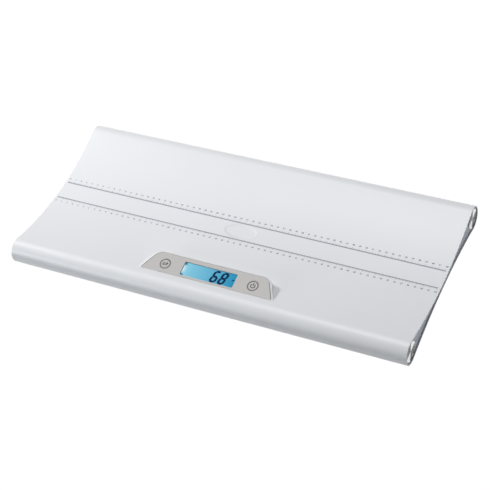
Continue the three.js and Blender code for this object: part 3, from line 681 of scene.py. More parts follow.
def lit_panel(name, sizes):
    """Backlit liquid-crystal panel: brightest at the left end, where the lamp is, between two dim
    corners."""
    field_colours = [
        (0.0, (0.30, 0.66, 0.80)),
        (0.16, (0.22, 0.57, 0.74)),
        (0.50, (0.135, 0.45, 0.65)),
        (0.85, (0.035, 0.315, 0.53)),
        (1.0, (0.015, 0.25, 0.44)),
    ]
    lamp_white, corner_blue = (0.88, 0.97, 1.0), (0.04, 0.17, 0.27)
    corner_edge, corner_share, mottle = 2.2, 0.9, 0.12
    look = Look(name, Roughness=0.6, Specular_IOR_Level=0.0)
    x, y, _ = look.place()
    console = bpy.context.scene.console_sizes
    half = sizes.width / 2
    middle_y = console.front_y + sizes.middle * math.cos(console.tilt)
    along = (x + half) / sizes.width
    field = look.ramp(along.limit(), field_colours)
    aside = (x + half) / sizes.lamp_length
    off_middle = (y - middle_y) / sizes.lamp_depth
    near_lamp = (1.0 - (aside * aside + off_middle * off_middle).root()).limit()
    faint = look.noise(scale=400.0)
    look.feed("Base Color", look.mix(faint, (0.004, 0.012, 0.02), (0.006, 0.016, 0.026)))
    corner_x = (x + half - sizes.shade_x) / sizes.shade
    corner_y = (abs(y - middle_y) - sizes.depth / 2 + sizes.shade_y) / sizes.shade
    corner = (1.0 - (corner_x * corner_x + corner_y * corner_y).root()).limit()
    glow = look.mix(near_lamp * near_lamp, field, lamp_white)
    glow = look.mix((corner * corner_edge).limit() * corner_share, glow, corner_blue)
    look.feed("Emission Color", look.mix(faint * mottle, glow, tint(tuple(sizes.colour), 0.8)))
    look.feed("Emission Strength", 1.06)
    return look.material


def window_plastic(name):
    """Clear plastic with a trace of haze."""
    look = Look(name, Alpha=0.05, Roughness=0.12, IOR=1.45)
    haze = look.noise(scale=60.0)
    look.feed("Base Color", look.mix(haze, (0.05, 0.08, 0.10), (0.10, 0.14, 0.17)))
    return look.material


def battery_sleeve(name, band_start):
    """A printed foil sleeve, lighter beyond the band's start on both sides of the middle."""
    look = Look(name, Metallic=0.3)
    x, _, _ = look.place()
    band = abs(x) > band_start
    look.feed("Base Color", look.mix(band * 0.5, (0.02, 0.10, 0.05), (0.05, 0.26, 0.13)))
    look.feed("Roughness", look.noise(scale=500.0) * 0.1 + 0.28)
    return look.material


def looks():
    """The finishes, made once and kept by name."""
    if looks.made:
        return looks.made
    scene = bpy.context.scene
    tray = scene.tray_sizes
    display = scene.display_sizes
    rulers = scene.ruler_sizes
    shell = tuple(tray.colour)
    plate = tuple(scene.console_sizes.colour)
    # After its maker, a plastic has its colour, its roughness, the scale and depth of its grain and the
    # share by which its colour varies. A brushed metal has its colour, its roughness, the stretch of its
    # grain along each axis and its scale.
    finishes = {
        "tray_white": (plastic, shell, 0.40, 1100.0, 0.000012, 0.008),
        "oval_white": (sunk_oval, shell, rulers),
        "housing_white": (plastic, shell, 0.36, 1100.0, 0.00001, 0.008),
        "cap_grey": (plastic, (0.62, 0.66, 0.725), 0.42, 700.0, 0.00004, 0.08),
        "plate_grey": (plastic, plate, 0.42, 1600.0, 0.000012, 0.015),
        "key_grey": (plastic, tint(plate, 0.98), 0.38, 1600.0, 0.00001, 0.015),
        "light_guide": (plastic, (0.85, 0.90, 0.95), 0.3, 900.0, 0.00001, 0.02),
        "black_plastic": (plastic, (0.022, 0.022, 0.025), 0.5, 800.0, 0.00003, 0.15),
        "holder_black": (plastic, (0.03, 0.03, 0.033), 0.55, 800.0, 0.00003, 0.15),
        "lead_grey": (plastic, (0.60, 0.60, 0.58), 0.55, 600.0, 0.00002, 0.05),
        "pad_rubber": (plastic, (0.045, 0.045, 0.05), 0.85, 420.0, 0.00008, 0.2),
        "disc_metal": (turned_metal, (0.94, 0.95, 0.97), tray.bulb_y, tray.bulb_z, 0.22),
        "cell_metal": (brushed_metal, (0.66, 0.67, 0.69), 0.38, (1, 30, 30), 120.0),
        "screw_metal": (brushed_metal, (0.48, 0.49, 0.50), 0.32, (20, 20, 1), 200.0),
        "contact_metal": (brushed_metal, (0.72, 0.73, 0.75), 0.22, (1, 1, 12), 260.0),
        "board_green": (circuit_board,),
        "battery_green": (battery_sleeve, 0.006),
        "window_clear": (window_plastic,),
        "lcd_blue": (lit_panel, display),
        "segment_ink": (ink, tuple(display.ink), 0.8, 0.0),
        "ruler_ink": (ink, tuple(rulers.ink)),
        "line_ink": (ink, tuple(rulers.line_ink)),
        "key_ink": (ink, tuple(scene.key_sizes.ink)),
    }
    for name, (finish, *settings) in finishes.items():
        looks.made[name] = finish(name, *settings)
    return looks.made


looks.made = {}


# Shapes that several pieces share


def touching_radius(rise, tray):
    """Radius of the arc that passes this far from the bulbs' centre line and touches both bulbs."""
    return (tray.bulb_y ** 2 + rise ** 2 - tray.bulb_radius ** 2) / (2 * (tray.bulb_radius - rise))


def section_tube(name, offset, reach, cuts=0):
    """The tray's outer skin, drawn out from the true one by offset, as an open tube along X.

    It starts as one line along X where the underside meets the rear bulb, which is spun round each
    bulb, the valley and the underside in turn.
    """
    tray = bpy.context.scene.tray_sizes
    valley = touching_radius(tray.valley_z - tray.bulb_z, tray)
    under = touching_radius(tray.bulb_z - tray.under_z, tray)
    valley_z = tray.valley_z + valley
    under_z = tray.under_z - under
    lift = math.atan2(valley_z - tray.bulb_z, tray.bulb_y)
    drop = math.atan2(tray.bulb_z - under_z, tray.bulb_y)
    radius = tray.bulb_radius + offset
    start_y = tray.bulb_y - radius * math.cos(drop)
    start_z = tray.bulb_z - radius * math.sin(drop)
    sliver = 0.001
    clear_selection()
    bpy.ops.mesh.primitive_plane_add(size=1, location=(0, start_y + sliver / 2, start_z))
    tube = new_piece(name)
    tube.scale = (reach, sliver, 1)
    settle(tube)
    edit(tube)
    choose(tube, "VERT", lambda v: v.co.y > start_y + sliver / 2)
    bpy.ops.mesh.delete(type="VERT")
    bpy.ops.mesh.select_all(action="SELECT")
    if cuts:
        bpy.ops.mesh.subdivide(number_cuts=cuts)
    bulb_turn = math.pi - lift - (drop - math.pi)
    for steps, sweep, y, z in (
        (48, bulb_turn, tray.bulb_y, tray.bulb_z),
        (40, 2 * lift - math.pi, 0, valley_z),
        (48, bulb_turn, -tray.bulb_y, tray.bulb_z),
        (24, 2 * drop - math.pi, 0, under_z),
    ):
        bpy.ops.mesh.spin(steps=steps, angle=sweep, center=(0, y, z), axis=(-1, 0, 0))
    done()
    outward(tube)
    return tube


def closed_section(name, offset, reach):
    """The same section as a solid bar."""
    bar = section_tube(name, offset, reach)
    edit(bar)
    for end in (-1, 1):
        choose(bar, "EDGE", lambda e: all(v.co.x * end > reach / 2 - NEAR for v in e.verts))
        bpy.ops.mesh.edge_face_add()
    done()
    outward(bar)
    return bar


def slanted_block(name, half_front, half_rear, front, rear, low, high, front_round, rear_round):
    """A block whose sides slant in to the rear, with its upright edges rounded."""
    block = box(name, (-half_front, front, low), (half_front, rear, high))
    edit(block)
    halfway = (front + rear) / 2
    choose(block, "VERT", lambda v: v.co.y > halfway)
    bpy.ops.transform.resize(value=(half_rear / half_front, 1, 1))
    slant = math.atan2(half_front - half_rear, rear - front)
    for side, radius, inner, segments in (
        (1, rear_round, math.pi / 2 + slant, 10),
        (-1, front_round, math.pi / 2 - slant, 4),
    ):
        def upright(edge):
            first, second = (v.co for v in edge.verts)
            return abs(first.z - second.z) > (high - low) / 2 and (first.y - halfway) * side > 0

        choose(block, "EDGE", upright)
        bpy.ops.mesh.bevel(offset=radius / math.tan(inner / 2), segments=segments)
    done()
    outward(block)
    return block


def console_block(name, inset, low, high, side_inset=None):
    """A block of the console's outline, drawn in by the inset, and by its own inset at the sides."""
    sizes = bpy.context.scene.console_sizes
    slope = (sizes.front_width - sizes.rear_width) / 2 / sizes.depth
    draw_in = (inset if side_inset is None else side_inset) * math.hypot(1, slope)
    front, rear = inset, sizes.depth - inset
    half_front, half_rear = (sizes.front_width / 2 - y * slope - draw_in for y in (front, rear))
    front_round = max(sizes.front_round - inset / 2, sizes.front_round / 4)
    return slanted_block(name, half_front, half_rear, front, rear, low, high, front_round,
                         sizes.rear_round - inset)


def window_block(name, grow, low, high):
    """A block of the window's outline, grown by the given amount."""
    sizes = bpy.context.scene.display_sizes
    half = sizes.width / 2 + grow
    reach = sizes.depth / 2 + grow
    return slanted_block(name, half, half, sizes.middle - reach, sizes.middle + reach, low, high,
                         sizes.corner, sizes.corner)


def soften(piece, offset, segments, test):
    """Bevels the edges that the test picks."""
    edit(piece)
    choose(piece, "EDGE", test)
    bpy.ops.mesh.bevel(offset=offset, segments=segments)
    done()


def corners():
    """The tray's four corners: their names, and the sign of their X and Y."""
    for end, end_name in ((-1, "left"), (1, "right")):
        for edge, edge_name in ((-1, "front"), (1, "rear")):
            yield f"{edge_name}_{end_name}", end, edge


# Operators


class SCALE_OT_tray(bpy.types.Operator):
    """Model the tray: its hollow section, the rims at its ends and its openings"""

    bl_idname = "baby_scale.tray"
    bl_label = "Tray"

    def execute(self, context):
        tray = context.scene.tray_sizes
        console = context.scene.console_sizes
        fit = context.scene.fitting_sizes
        shell = section_tube("tray", 0.0, tray.length, cuts=20)
        modify(shell, "SOLIDIFY", thickness=tray.wall, offset=-1.0, use_even_offset=True)

        def on_rim(edge):
            """True for an edge between an end's face and the skin."""
            at_end = all(abs(v.co.x) > tray.length / 2 - NEAR for v in edge.verts)
            faces = [abs(f.normal.x) > FACING for f in edge.link_faces]
            return at_end and len(faces) == 2 and faces[0] != faces[1]

        soften(shell, tray.rim_round, 2, on_rim)
        boolean(shell, place_on_console(console_block("opening", console.opening, -console.opening_depth,
                                                      BEYOND)))
        half = fit.hatch_length / 2
        boolean(shell, box("hatch", (-half, -tray.bulb_y - fit.hatch_width / 2, -BEYOND),
                           (half, -tray.bulb_y + fit.hatch_width / 2, fit.hatch_top)))
        for _, end, edge in corners():
            for radius, top, x, sides in (
                (fit.foot_hole, fit.foot_hole_top, fit.foot_x, 48),
                (fit.screw_hole, fit.screw_hole_top, fit.screw_x, 32),
            ):
                boolean(shell, drum("hole", radius, -BEYOND, top, (end * x, edge * tray.bulb_y, 0),
                                    sides=sides))
        smooth(shell)
        finish_piece(shell, "scale", "tray_white", "tray_profile")
        return {"FINISHED"}


class SCALE_OT_discs(bpy.types.Operator):
    """Model the turned metal disc in each end of each round edge"""

    bl_idname = "baby_scale.discs"
    bl_label = "Metal discs"

    def execute(self, context):
        tray = context.scene.tray_sizes
        fit = context.scene.fitting_sizes
        master = drum("disc", fit.disc_radius, 0, fit.disc_thick, sides=96)
        edit(master)
        choose_top(master)
        bpy.ops.mesh.inset(thickness=fit.disc_rim)
        bpy.ops.mesh.inset(thickness=fit.disc_step)
        bpy.ops.transform.translate(value=(0, 0, -fit.disc_dish))
        groove = (fit.disc_radius - fit.disc_rim - fit.disc_step) / (2 * fit.disc_rings + 1)
        for turn in range(2 * fit.disc_rings):
            bpy.ops.mesh.inset(thickness=groove)
            bpy.ops.transform.translate(value=(0, 0, (-1) ** turn * groove * math.tan(fit.disc_slope)))
        done()
        outward(master)
        for name, end, edge in corners():
            disc = copied(master, f"disc_{name}", (end * fit.disc_x, edge * tray.bulb_y, tray.bulb_z),
                          (0, end * math.pi / 2, 0))
            smooth(disc, 15)
            finish_piece(disc, "scale", "disc_metal", f"cap_disc_{name}")
        bpy.data.objects.remove(master)
        return {"FINISHED"}


class SCALE_OT_console(bpy.types.Operator):
    """Model the console's housing, whose walls stand on the tray, and its faceplate"""

    bl_idname = "baby_scale.console"
    bl_label = "Console"

    def housing(self, sizes):
        housing = console_block("console", 0.0, -sizes.reach, 0.0)
        edit(housing)
        choose_top(housing)
        bpy.ops.mesh.inset(thickness=sizes.edge_round)
        flat_side = 2 * (sizes.side_rim - sizes.edge_round) / (sizes.front_width - 2 * sizes.edge_round)
        bpy.ops.transform.resize(value=(1 - sizes.side_slope * flat_side, 1, 1))
        choose(housing, "VERT", lambda v: v.co.z > -TINY and any(
            e.other_vert(v).co.z < -sizes.reach / 2 for e in v.link_edges))
        bpy.ops.transform.translate(value=(0, 0, -sizes.edge_round))
        done()
        soften(housing, sizes.crest_round, 3, lambda e: all(v.co.z > -TINY for v in e.verts)
               and any(f.normal.z < 0.999 for f in e.link_faces))
        soften(housing, sizes.slope_round, 2,
               lambda e: all(abs(v.co.z + sizes.edge_round) < TINY for v in e.verts))
        ledge = sizes.plate + sizes.clearance
        wall = sizes.rim + 2 * sizes.clearance + sizes.skirt
        boolean(housing, console_block("pocket", sizes.rim, -ledge, BEYOND, sizes.side_rim))
        boolean(housing, console_block("hollow", wall, -2 * sizes.reach, BEYOND))
        place_on_console(housing)
        boolean(housing, closed_section("tray_shape", sizes.seat, reach=0.4))
        smooth(housing)
        finish_piece(housing, "scale", "tray_white", "console_housing", look="housing_white")

    def faceplate(self, sizes, keys):
        plate = console_block("front_plate", sizes.rim + sizes.clearance, -sizes.plate, 0.0,
                              sizes.side_rim + sizes.clearance)
        soften(plate, sizes.plate_round, 2, lambda e: all(v.co.z > -TINY for v in e.verts))
        boolean(plate, window_block("window_cut", 0.0, -BEYOND, BEYOND))
        for side in (-1, 1):
            boolean(plate, drum("key_cut", keys.radius + sizes.clearance, -BEYOND, BEYOND,
                                (side * keys.spacing / 2, keys.middle, 0), sides=96))
        place_on_console(plate)
        smooth(plate)
        finish_piece(plate, "scale", "plate_grey", "faceplate")

    def execute(self, context):
        self.housing(context.scene.console_sizes)
        self.faceplate(context.scene.console_sizes, context.scene.key_sizes)
        return {"FINISHED"}


class SCALE_OT_display(bpy.types.Operator):
    """Model the lit panel, the reading on it and the clear window over it"""

    bl_idname = "baby_scale.display"
    bl_label = "Display"

    # The seven segments by their ends, in half widths and half heights, and those that a figure lights
    SEGMENTS = {
        "a": ((-1, 1), (1, 1)), "b": ((1, 1), (1, 0)), "c": ((1, 0), (1, -1)), "d": ((-1, -1), (1, -1)),
        "e": ((-1, 0), (-1, -1)), "f": ((-1, 1), (-1, 0)), "g": ((-1, 0), (1, 0)),
    }
    LIT = {
        "0": "abcdef", "1": "bc", "2": "abged", "3": "abgcd", "4": "fgbc", "5": "afgcd", "6": "afgedc",
        "7": "abc", "8": "abcdefg", "9": "abcdfg",
    }
    # The mark's place, in digit pitches from the first digit and digit heights over the middle
    MARK_PITCHES = 2.15
    MARK_RISE = 0.06
    MARK_STRETCH = (1.25, 0.9, 1)

    def segment(self, sizes, start, end):
        """One stroke of a digit, narrower at both ends."""
        along = end - start
        half = sizes.stroke / 2
        bar = box("stroke", (0, -half, 0), (along.length, half, sizes.film))
        edit(bar)
        for cut in (half, along.length - half):
            bpy.ops.mesh.select_all(action="SELECT")
            bpy.ops.mesh.bisect(plane_co=(cut, 0, 0), plane_no=(1, 0, 0))
        choose(bar, "VERT", lambda v: v.co.x < TINY or v.co.x > along.length - TINY)
        bpy.ops.transform.resize(value=(1, sizes.tip, 1))
        done()
        return moved(bar, (start.x, start.y, 0), math.atan2(along.y, along.x))

    def digit(self, sizes, figure, x):
        """The strokes of one seven-segment figure, leaning to the right."""
        half_width = (sizes.digit_width - sizes.stroke) / 2
        half_height = (sizes.digit_height - sizes.stroke) / 2
        strokes = []
        for name in self.LIT[figure]:
            start, end = (Vector((across * half_width, up * half_height))
                          for across, up in self.SEGMENTS[name])
            trim = (end - start).normalized() * sizes.stroke * sizes.gap
            strokes.append(self.segment(sizes, start + trim, end - trim))
        made = joined("figure", strokes)
        lean = Matrix.Identity(4)
        lean[0][1] = math.tan(sizes.slant)
        made.data.transform(lean)
        return moved(made, (x, sizes.middle, 0))

    def panel(self, sizes):
        half = sizes.width / 2 + sizes.glass_end
        reach = sizes.depth / 2 + sizes.glass_margin
        base = -sizes.glass_drop - sizes.glass_thick
        panel = box("panel", (-half, sizes.middle - reach, base),
                    (half, sizes.middle + reach, -sizes.glass_drop))
        boolean(panel, window_block("raised", -sizes.clearance, -sizes.glass_drop - sizes.glass_thick / 2,
                                    -sizes.glass_top), "UNION")
        place_on_console(panel)
        smooth(panel)
        finish_piece(panel, "scale", "lcd_blue", "lcd_panel")

    def figures(self, sizes):
        """The digits, and a small oval mark behind them."""
        pieces = [self.digit(sizes, figure, sizes.first_digit + n * sizes.digit_pitch)
                  for n, figure in enumerate(sizes.reading)]
        centre = (sizes.first_digit + sizes.digit_pitch * self.MARK_PITCHES,
                  sizes.middle + sizes.digit_height * self.MARK_RISE, 0)
        mark = drum("mark", sizes.mark, 0, sizes.film, centre, sides=24)
        edit(mark, True)
        bpy.ops.transform.resize(value=self.MARK_STRETCH)
        done()
        reading = joined("reading", [*pieces, mark])
        moved(reading, (0, 0, sizes.film_lift - sizes.glass_top))
        place_on_console(reading)
        finish_piece(reading, "scale", "black_plastic", look="segment_ink")

    def window(self, sizes):
        window = window_block("window", -sizes.clearance, -sizes.window_base, -sizes.window_top)
        soften(window, sizes.window_round, 2,
               lambda e: all(v.co.z > -sizes.window_top - NEAR for v in e.verts))
        place_on_console(window)
        smooth(window)
        finish_piece(window, "scale", "window_clear", "display_window")

    def execute(self, context):
        sizes = context.scene.display_sizes
        self.panel(sizes)
        self.figures(sizes)
        self.window(sizes)
        return {"FINISHED"}


class SCALE_OT_keys(bpy.types.Operator):
    """Model the two keys with their printed rings and symbols"""

    bl_idname = "baby_scale.keys"
    bl_label = "Keys"

    def cap(self, sizes, name, x):
        cap = drum(name, sizes.radius, -sizes.depth, 0.0, sides=96)
        edit(cap)
        choose_top(cap)
        bpy.ops.mesh.inset(thickness=sizes.radius * sizes.rim)
        bpy.ops.mesh.inset(thickness=sizes.radius * sizes.slope)
        bpy.ops.transform.translate(value=(0, 0, -sizes.dish))
        choose(cap, "EDGE", lambda e: all(v.co.z > -TINY and v.co.xy.length > sizes.radius - NEAR
                                          for v in e.verts))
        bpy.ops.mesh.bevel(offset=sizes.edge_round, segments=3)
        done()
        outward(cap)
        moved(cap, (x, sizes.middle, 0))
        place_on_console(cap)
        smooth(cap)
        return cap

    def arc(self, name, radius, width, high, start, turn, steps):
        """A bar of the given width bent round the origin, between two angles from +X."""
        clear_selection()
        bpy.ops.mesh.primitive_plane_add(size=1, rotation=(math.pi / 2, 0, 0), location=(radius, 0, high / 2))
        bar = new_piece(name)
        bar.scale = (width, high, 1)
        settle(bar)
        edit(bar, True)
        bpy.ops.mesh.spin(steps=steps, angle=turn, center=(0, 0, 0), axis=(0, 0, -1))
        bpy.ops.mesh.select_all(action="SELECT")
        bpy.ops.mesh.remove_doubles(threshold=TINY / 10)
        bpy.ops.mesh.select_all(action="DESELECT")
        bpy.ops.mesh.select_interior_faces()
        bpy.ops.mesh.delete(type="ONLY_FACE")
        done()
        moved(bar, turn=start)
        outward(bar)
        return bar

    def arrow(self, sizes, y, turn):
        """A thin arrow along X for the key that changes the unit."""
        half = sizes.arrow_width / 2
        shaft = box("shaft", (-sizes.arrow_reach, -half, 0), (sizes.arrow_reach, half, sizes.film))
        heads = []
        for side in (-1, 1):
            head = box("head", (-sizes.arrow_head, -half, 0), (0, half, sizes.film))
            heads.append(moved(head, (sizes.arrow_reach, 0, 0), side * sizes.arrow_spread))
        return moved(joined("arrow", [shaft, *heads]), (0, y, 0), turn)

    def signs(self, sizes, name):
        """The power sign, or the two arrows of the key that changes the unit."""
        if name == "unit":
            return [self.arrow(sizes, sizes.arrow_offset, 0.0),
                    self.arrow(sizes, -sizes.arrow_offset, math.pi)]
        half = sizes.power_width / 2
        return [self.arc("power_arc", sizes.power_radius, sizes.power_width, sizes.film,
                         math.pi / 2 + sizes.power_gap, 2 * (math.pi - sizes.power_gap), steps=28),
                box("power_bar", (-half, sizes.bar_foot, 0), (half, sizes.bar_top, sizes.film))]

    def execute(self, context):
        sizes = context.scene.key_sizes
        for name, x in (("unit", -sizes.spacing / 2), ("power", sizes.spacing / 2)):
            cap = self.cap(sizes, f"{name}_cap", x)
            finish_piece(cap, f"{name}_button", "key_grey", f"{name}_key")
            ring = self.arc("ring", sizes.radius - sizes.ring_margin - sizes.ring / 2, sizes.ring,
                            sizes.film, 0, 2 * math.pi, steps=72)
            moved(ring, (0, 0, -sizes.ring_sink))
            marks = [moved(mark, (0, 0, -sizes.dish)) for mark in self.signs(sizes, name)]
            sign = joined(f"{name}_print", [ring, *marks])
            moved(sign, (x, sizes.middle, 0))
            place_on_console(sign)
            finish_piece(sign, f"{name}_button", "black_plastic", look="key_ink")
        return {"FINISHED"}


class SCALE_OT_rulers(bpy.types.Operator):
    """Print the two centimetre rulers on the tray, and raise the plain oval between them"""

    bl_idname = "baby_scale.rulers"
    bl_label = "Rulers"

    # Font size over the height of its figures, room for each figure, and how much bolder they are
    FONT_SIZE = 1.42
    FONT_ROOM = 1.08
    FONT_WEIGHT = 0.03

    def ticks(self, name, start_x, near, far, width, pitch, count):
        tick = sheet(name, start_x, (near + far) / 2, width, abs(far - near))
        modify(tick, "ARRAY", count=count, use_relative_offset=False, use_constant_offset=True,
               constant_offset_displace=(pitch, 0, 0))
        return tick

    def number(self, text, x, y, height):
        clear_selection()
        bpy.ops.object.text_add(location=(x, y, ABOVE))
        label = bpy.context.view_layer.objects.active
        label.data.body = text
        label.data.size = height * self.FONT_SIZE
        label.data.align_x = "CENTER"
        label.data.align_y = "CENTER"
        label.data.resolution_u = 2
        label.data.space_character = self.FONT_ROOM
        label.data.offset = height * self.FONT_WEIGHT
        only(label)
        bpy.ops.object.convert(target="MESH")
        made = bpy.context.view_layer.objects.active
        settle(made)
        return made

    def lay(self, piece, lift, film):
        """Drops a flat piece onto the tray and gives it the thickness of a film."""
        modify(piece, "SHRINKWRAP", target=bpy.data.objects["tray"], wrap_method="PROJECT",
               use_project_z=True, use_negative_direction=True, use_positive_direction=False, offset=lift)
        modify(piece, "SOLIDIFY", thickness=film, offset=1.0)

    def printed(self, sizes, name, flat_pieces, look):
        """The flat pieces as one print on the tray."""
        mark = joined(name, flat_pieces)
        edit(mark, True)
        bpy.ops.mesh.quads_convert_to_tris()
        done()
        self.lay(mark, sizes.lift, sizes.film)
        finish_piece(mark, "scale", "black_plastic", look=look)

    def ruler(self, sizes, side, name):
        first = -(sizes.labels - 1) / 2 * sizes.step
        line = sizes.middle + side * sizes.line
        row = sizes.middle + side * sizes.label
        rows = [sheet("rule", 0, line, 2 * (sizes.overhang - first), sizes.line_width)]
        for tick, start, near, far, width, pitch, count in (
            ("millimetres", first, 0, sizes.millimetre, sizes.tick_width, sizes.step / 10,
             (sizes.labels - 1) * 10 + 1),
            ("halves", first + sizes.step / 2, sizes.millimetre, sizes.half, sizes.tick_width, sizes.step,
             sizes.labels - 1),
            ("centimetres", first, sizes.millimetre, sizes.centimetre, sizes.centimetre_width, sizes.step,
             sizes.labels),
        ):
            rows.append(self.ticks(tick, start, line + side * near, line + side * far, width, pitch, count))
        self.printed(sizes, f"ruler_{name}", rows, "line_ink")
        numbers = [self.number(str(n), first + n * sizes.step, row, sizes.digit)
                   for n in range(sizes.labels)]
        self.printed(sizes, f"numbers_{name}", numbers, "ruler_ink")

    def oval(self, sizes):
        """A flat ring laid on the tray, with its outer edge raised."""
        clear_selection()
        bpy.ops.mesh.primitive_circle_add(vertices=96, radius=1, fill_type="NGON",
                                          location=(0, sizes.middle, ABOVE))
        oval = new_piece("centre_oval")
        oval.scale = (sizes.oval_length / 2, sizes.oval_depth / 2, 1)
        settle(oval)
        edit(oval)
        choose(oval, "FACE", lambda f: True)
        bpy.ops.mesh.inset(thickness=sizes.oval_slope)
        bpy.ops.mesh.delete(type="FACE")
        done()
        self.lay(oval, sizes.oval_lift, sizes.oval_film)

        def on_top_edge(vert):
            """The outer edge lies at 0.5 of the oval's length and depth."""
            out = math.hypot(vert.co.x / sizes.oval_length, (vert.co.y - sizes.middle) / sizes.oval_depth)
            return vert.normal.z > 0 and out > 0.47

        edit(oval)
        choose(oval, "VERT", on_top_edge)
        bpy.ops.transform.translate(value=(0, 0, sizes.oval_rise))
        done()
        smooth(oval)
        finish_piece(oval, "scale", "tray_white", look="oval_white")

    def execute(self, context):
        sizes = context.scene.ruler_sizes
        self.ruler(sizes, -1, "front")
        self.ruler(sizes, 1, "rear")
        self.oval(sizes)
        return {"FINISHED"}


class SCALE_OT_feet(bpy.types.Operator):
    """Model the rubber pads under the four feet"""

    bl_idname = "baby_scale.feet"
    bl_label = "Feet"

    # Widths of the rings that part a pad's underside, as shares of its radius
    FLAT_RINGS = (0.18, 0.10, 0.12)

    def execute(self, context):
        tray = context.scene.tray_sizes
        fit = context.scene.fitting_sizes
        master = drum("pad", fit.pad_radius, 0, fit.pad_height, sides=64)
        edit(master)
        choose_top(master)
        bpy.ops.mesh.inset(thickness=fit.pad_wall)
        bpy.ops.mesh.extrude_region_move(
            TRANSFORM_OT_translate={"value": (0, 0, fit.pad_base - fit.pad_height)})
        choose(master, "FACE", lambda f: f.normal.z < -FACING)
        for ring in self.FLAT_RINGS:
            bpy.ops.mesh.inset(thickness=fit.pad_radius * ring)
        choose(master, "EDGE", lambda e: all(v.co.z < TINY and v.co.xy.length > fit.pad_radius - NEAR
                                             for v in e.verts))
        bpy.ops.mesh.bevel(offset=fit.pad_round, segments=4)
        choose(master, "EDGE", lambda e: all(v.co.z > fit.pad_height - TINY for v in e.verts)
               and abs(e.verts[0].co.xy.length - e.verts[1].co.xy.length) < TINY)
        bpy.ops.mesh.bevel(offset=fit.pad_lip, segments=3)
        done()
        outward(master)
        for name, end, edge in corners():
            pad = copied(master, f"pad_{name}", (end * fit.foot_x, edge * tray.bulb_y, 0))
            smooth(pad)
            finish_piece(pad, "scale", "pad_rubber", f"foot_pad_{name}")
        bpy.data.objects.remove(master)
        return {"FINISHED"}


class SCALE_OT_door(bpy.types.Operator):
    """Model the battery door, which completes the round of the front edge"""

    bl_idname = "baby_scale.door"
    bl_label = "Battery door"

    def execute(self, context):
        tray = context.scene.tray_sizes
        fit = context.scene.fitting_sizes
        door = closed_section("door", 0.0, 2 * fit.door_end)
        far = fit.door_end + BEYOND
        front = -tray.bulb_y - fit.hatch_width / 2 + fit.door_gap
        boolean(door, box("keep", (-far, front, 0), (far, fit.hinge_y, fit.hatch_top)), "INTERSECT")
        lengthways = (0, math.pi / 2, 0)
        boolean(door, drum("bore", tray.bulb_radius - tray.wall, -far, far, (0, -tray.bulb_y, tray.bulb_z),
                           lengthways, sides=128))
        boolean(door, drum("notch", fit.notch, -BEYOND, 2 * BEYOND,
                           (0, front - fit.notch + fit.notch_depth, 0)))
        hinge = (0, fit.hinge_y, fit.hinge_z)
        for name, radius, end, sides in (
            ("barrel", fit.barrel, fit.door_end, 48),
            ("pin", fit.pin, fit.pin_end, 32),
        ):
            boolean(door, drum(name, radius, -end, end, hinge, lengthways, sides=sides), "UNION")
        modify(door, "BEVEL", width=fit.door_round, segments=2, limit_method="ANGLE",
               angle_limit=math.radians(40))
        smooth(door)
        finish_piece(door, "door", "tray_white", "battery_door", look="housing_white")
        return {"FINISHED"}


class SCALE_OT_fittings(bpy.types.Operator):
    """Give every fitted and inner piece its finish"""

    bl_idname = "baby_scale.fittings"
    bl_label = "Inner pieces"

    def execute(self, context):
        slots = {part["node"]: part["material_slot"] for part in frame["record"]["subparts"]}
        for name, node in frame["nodes"].items():
            node.data.materials.clear()
            node.data.materials.append(looks()[slots[name]])
        return {"FINISHED"}


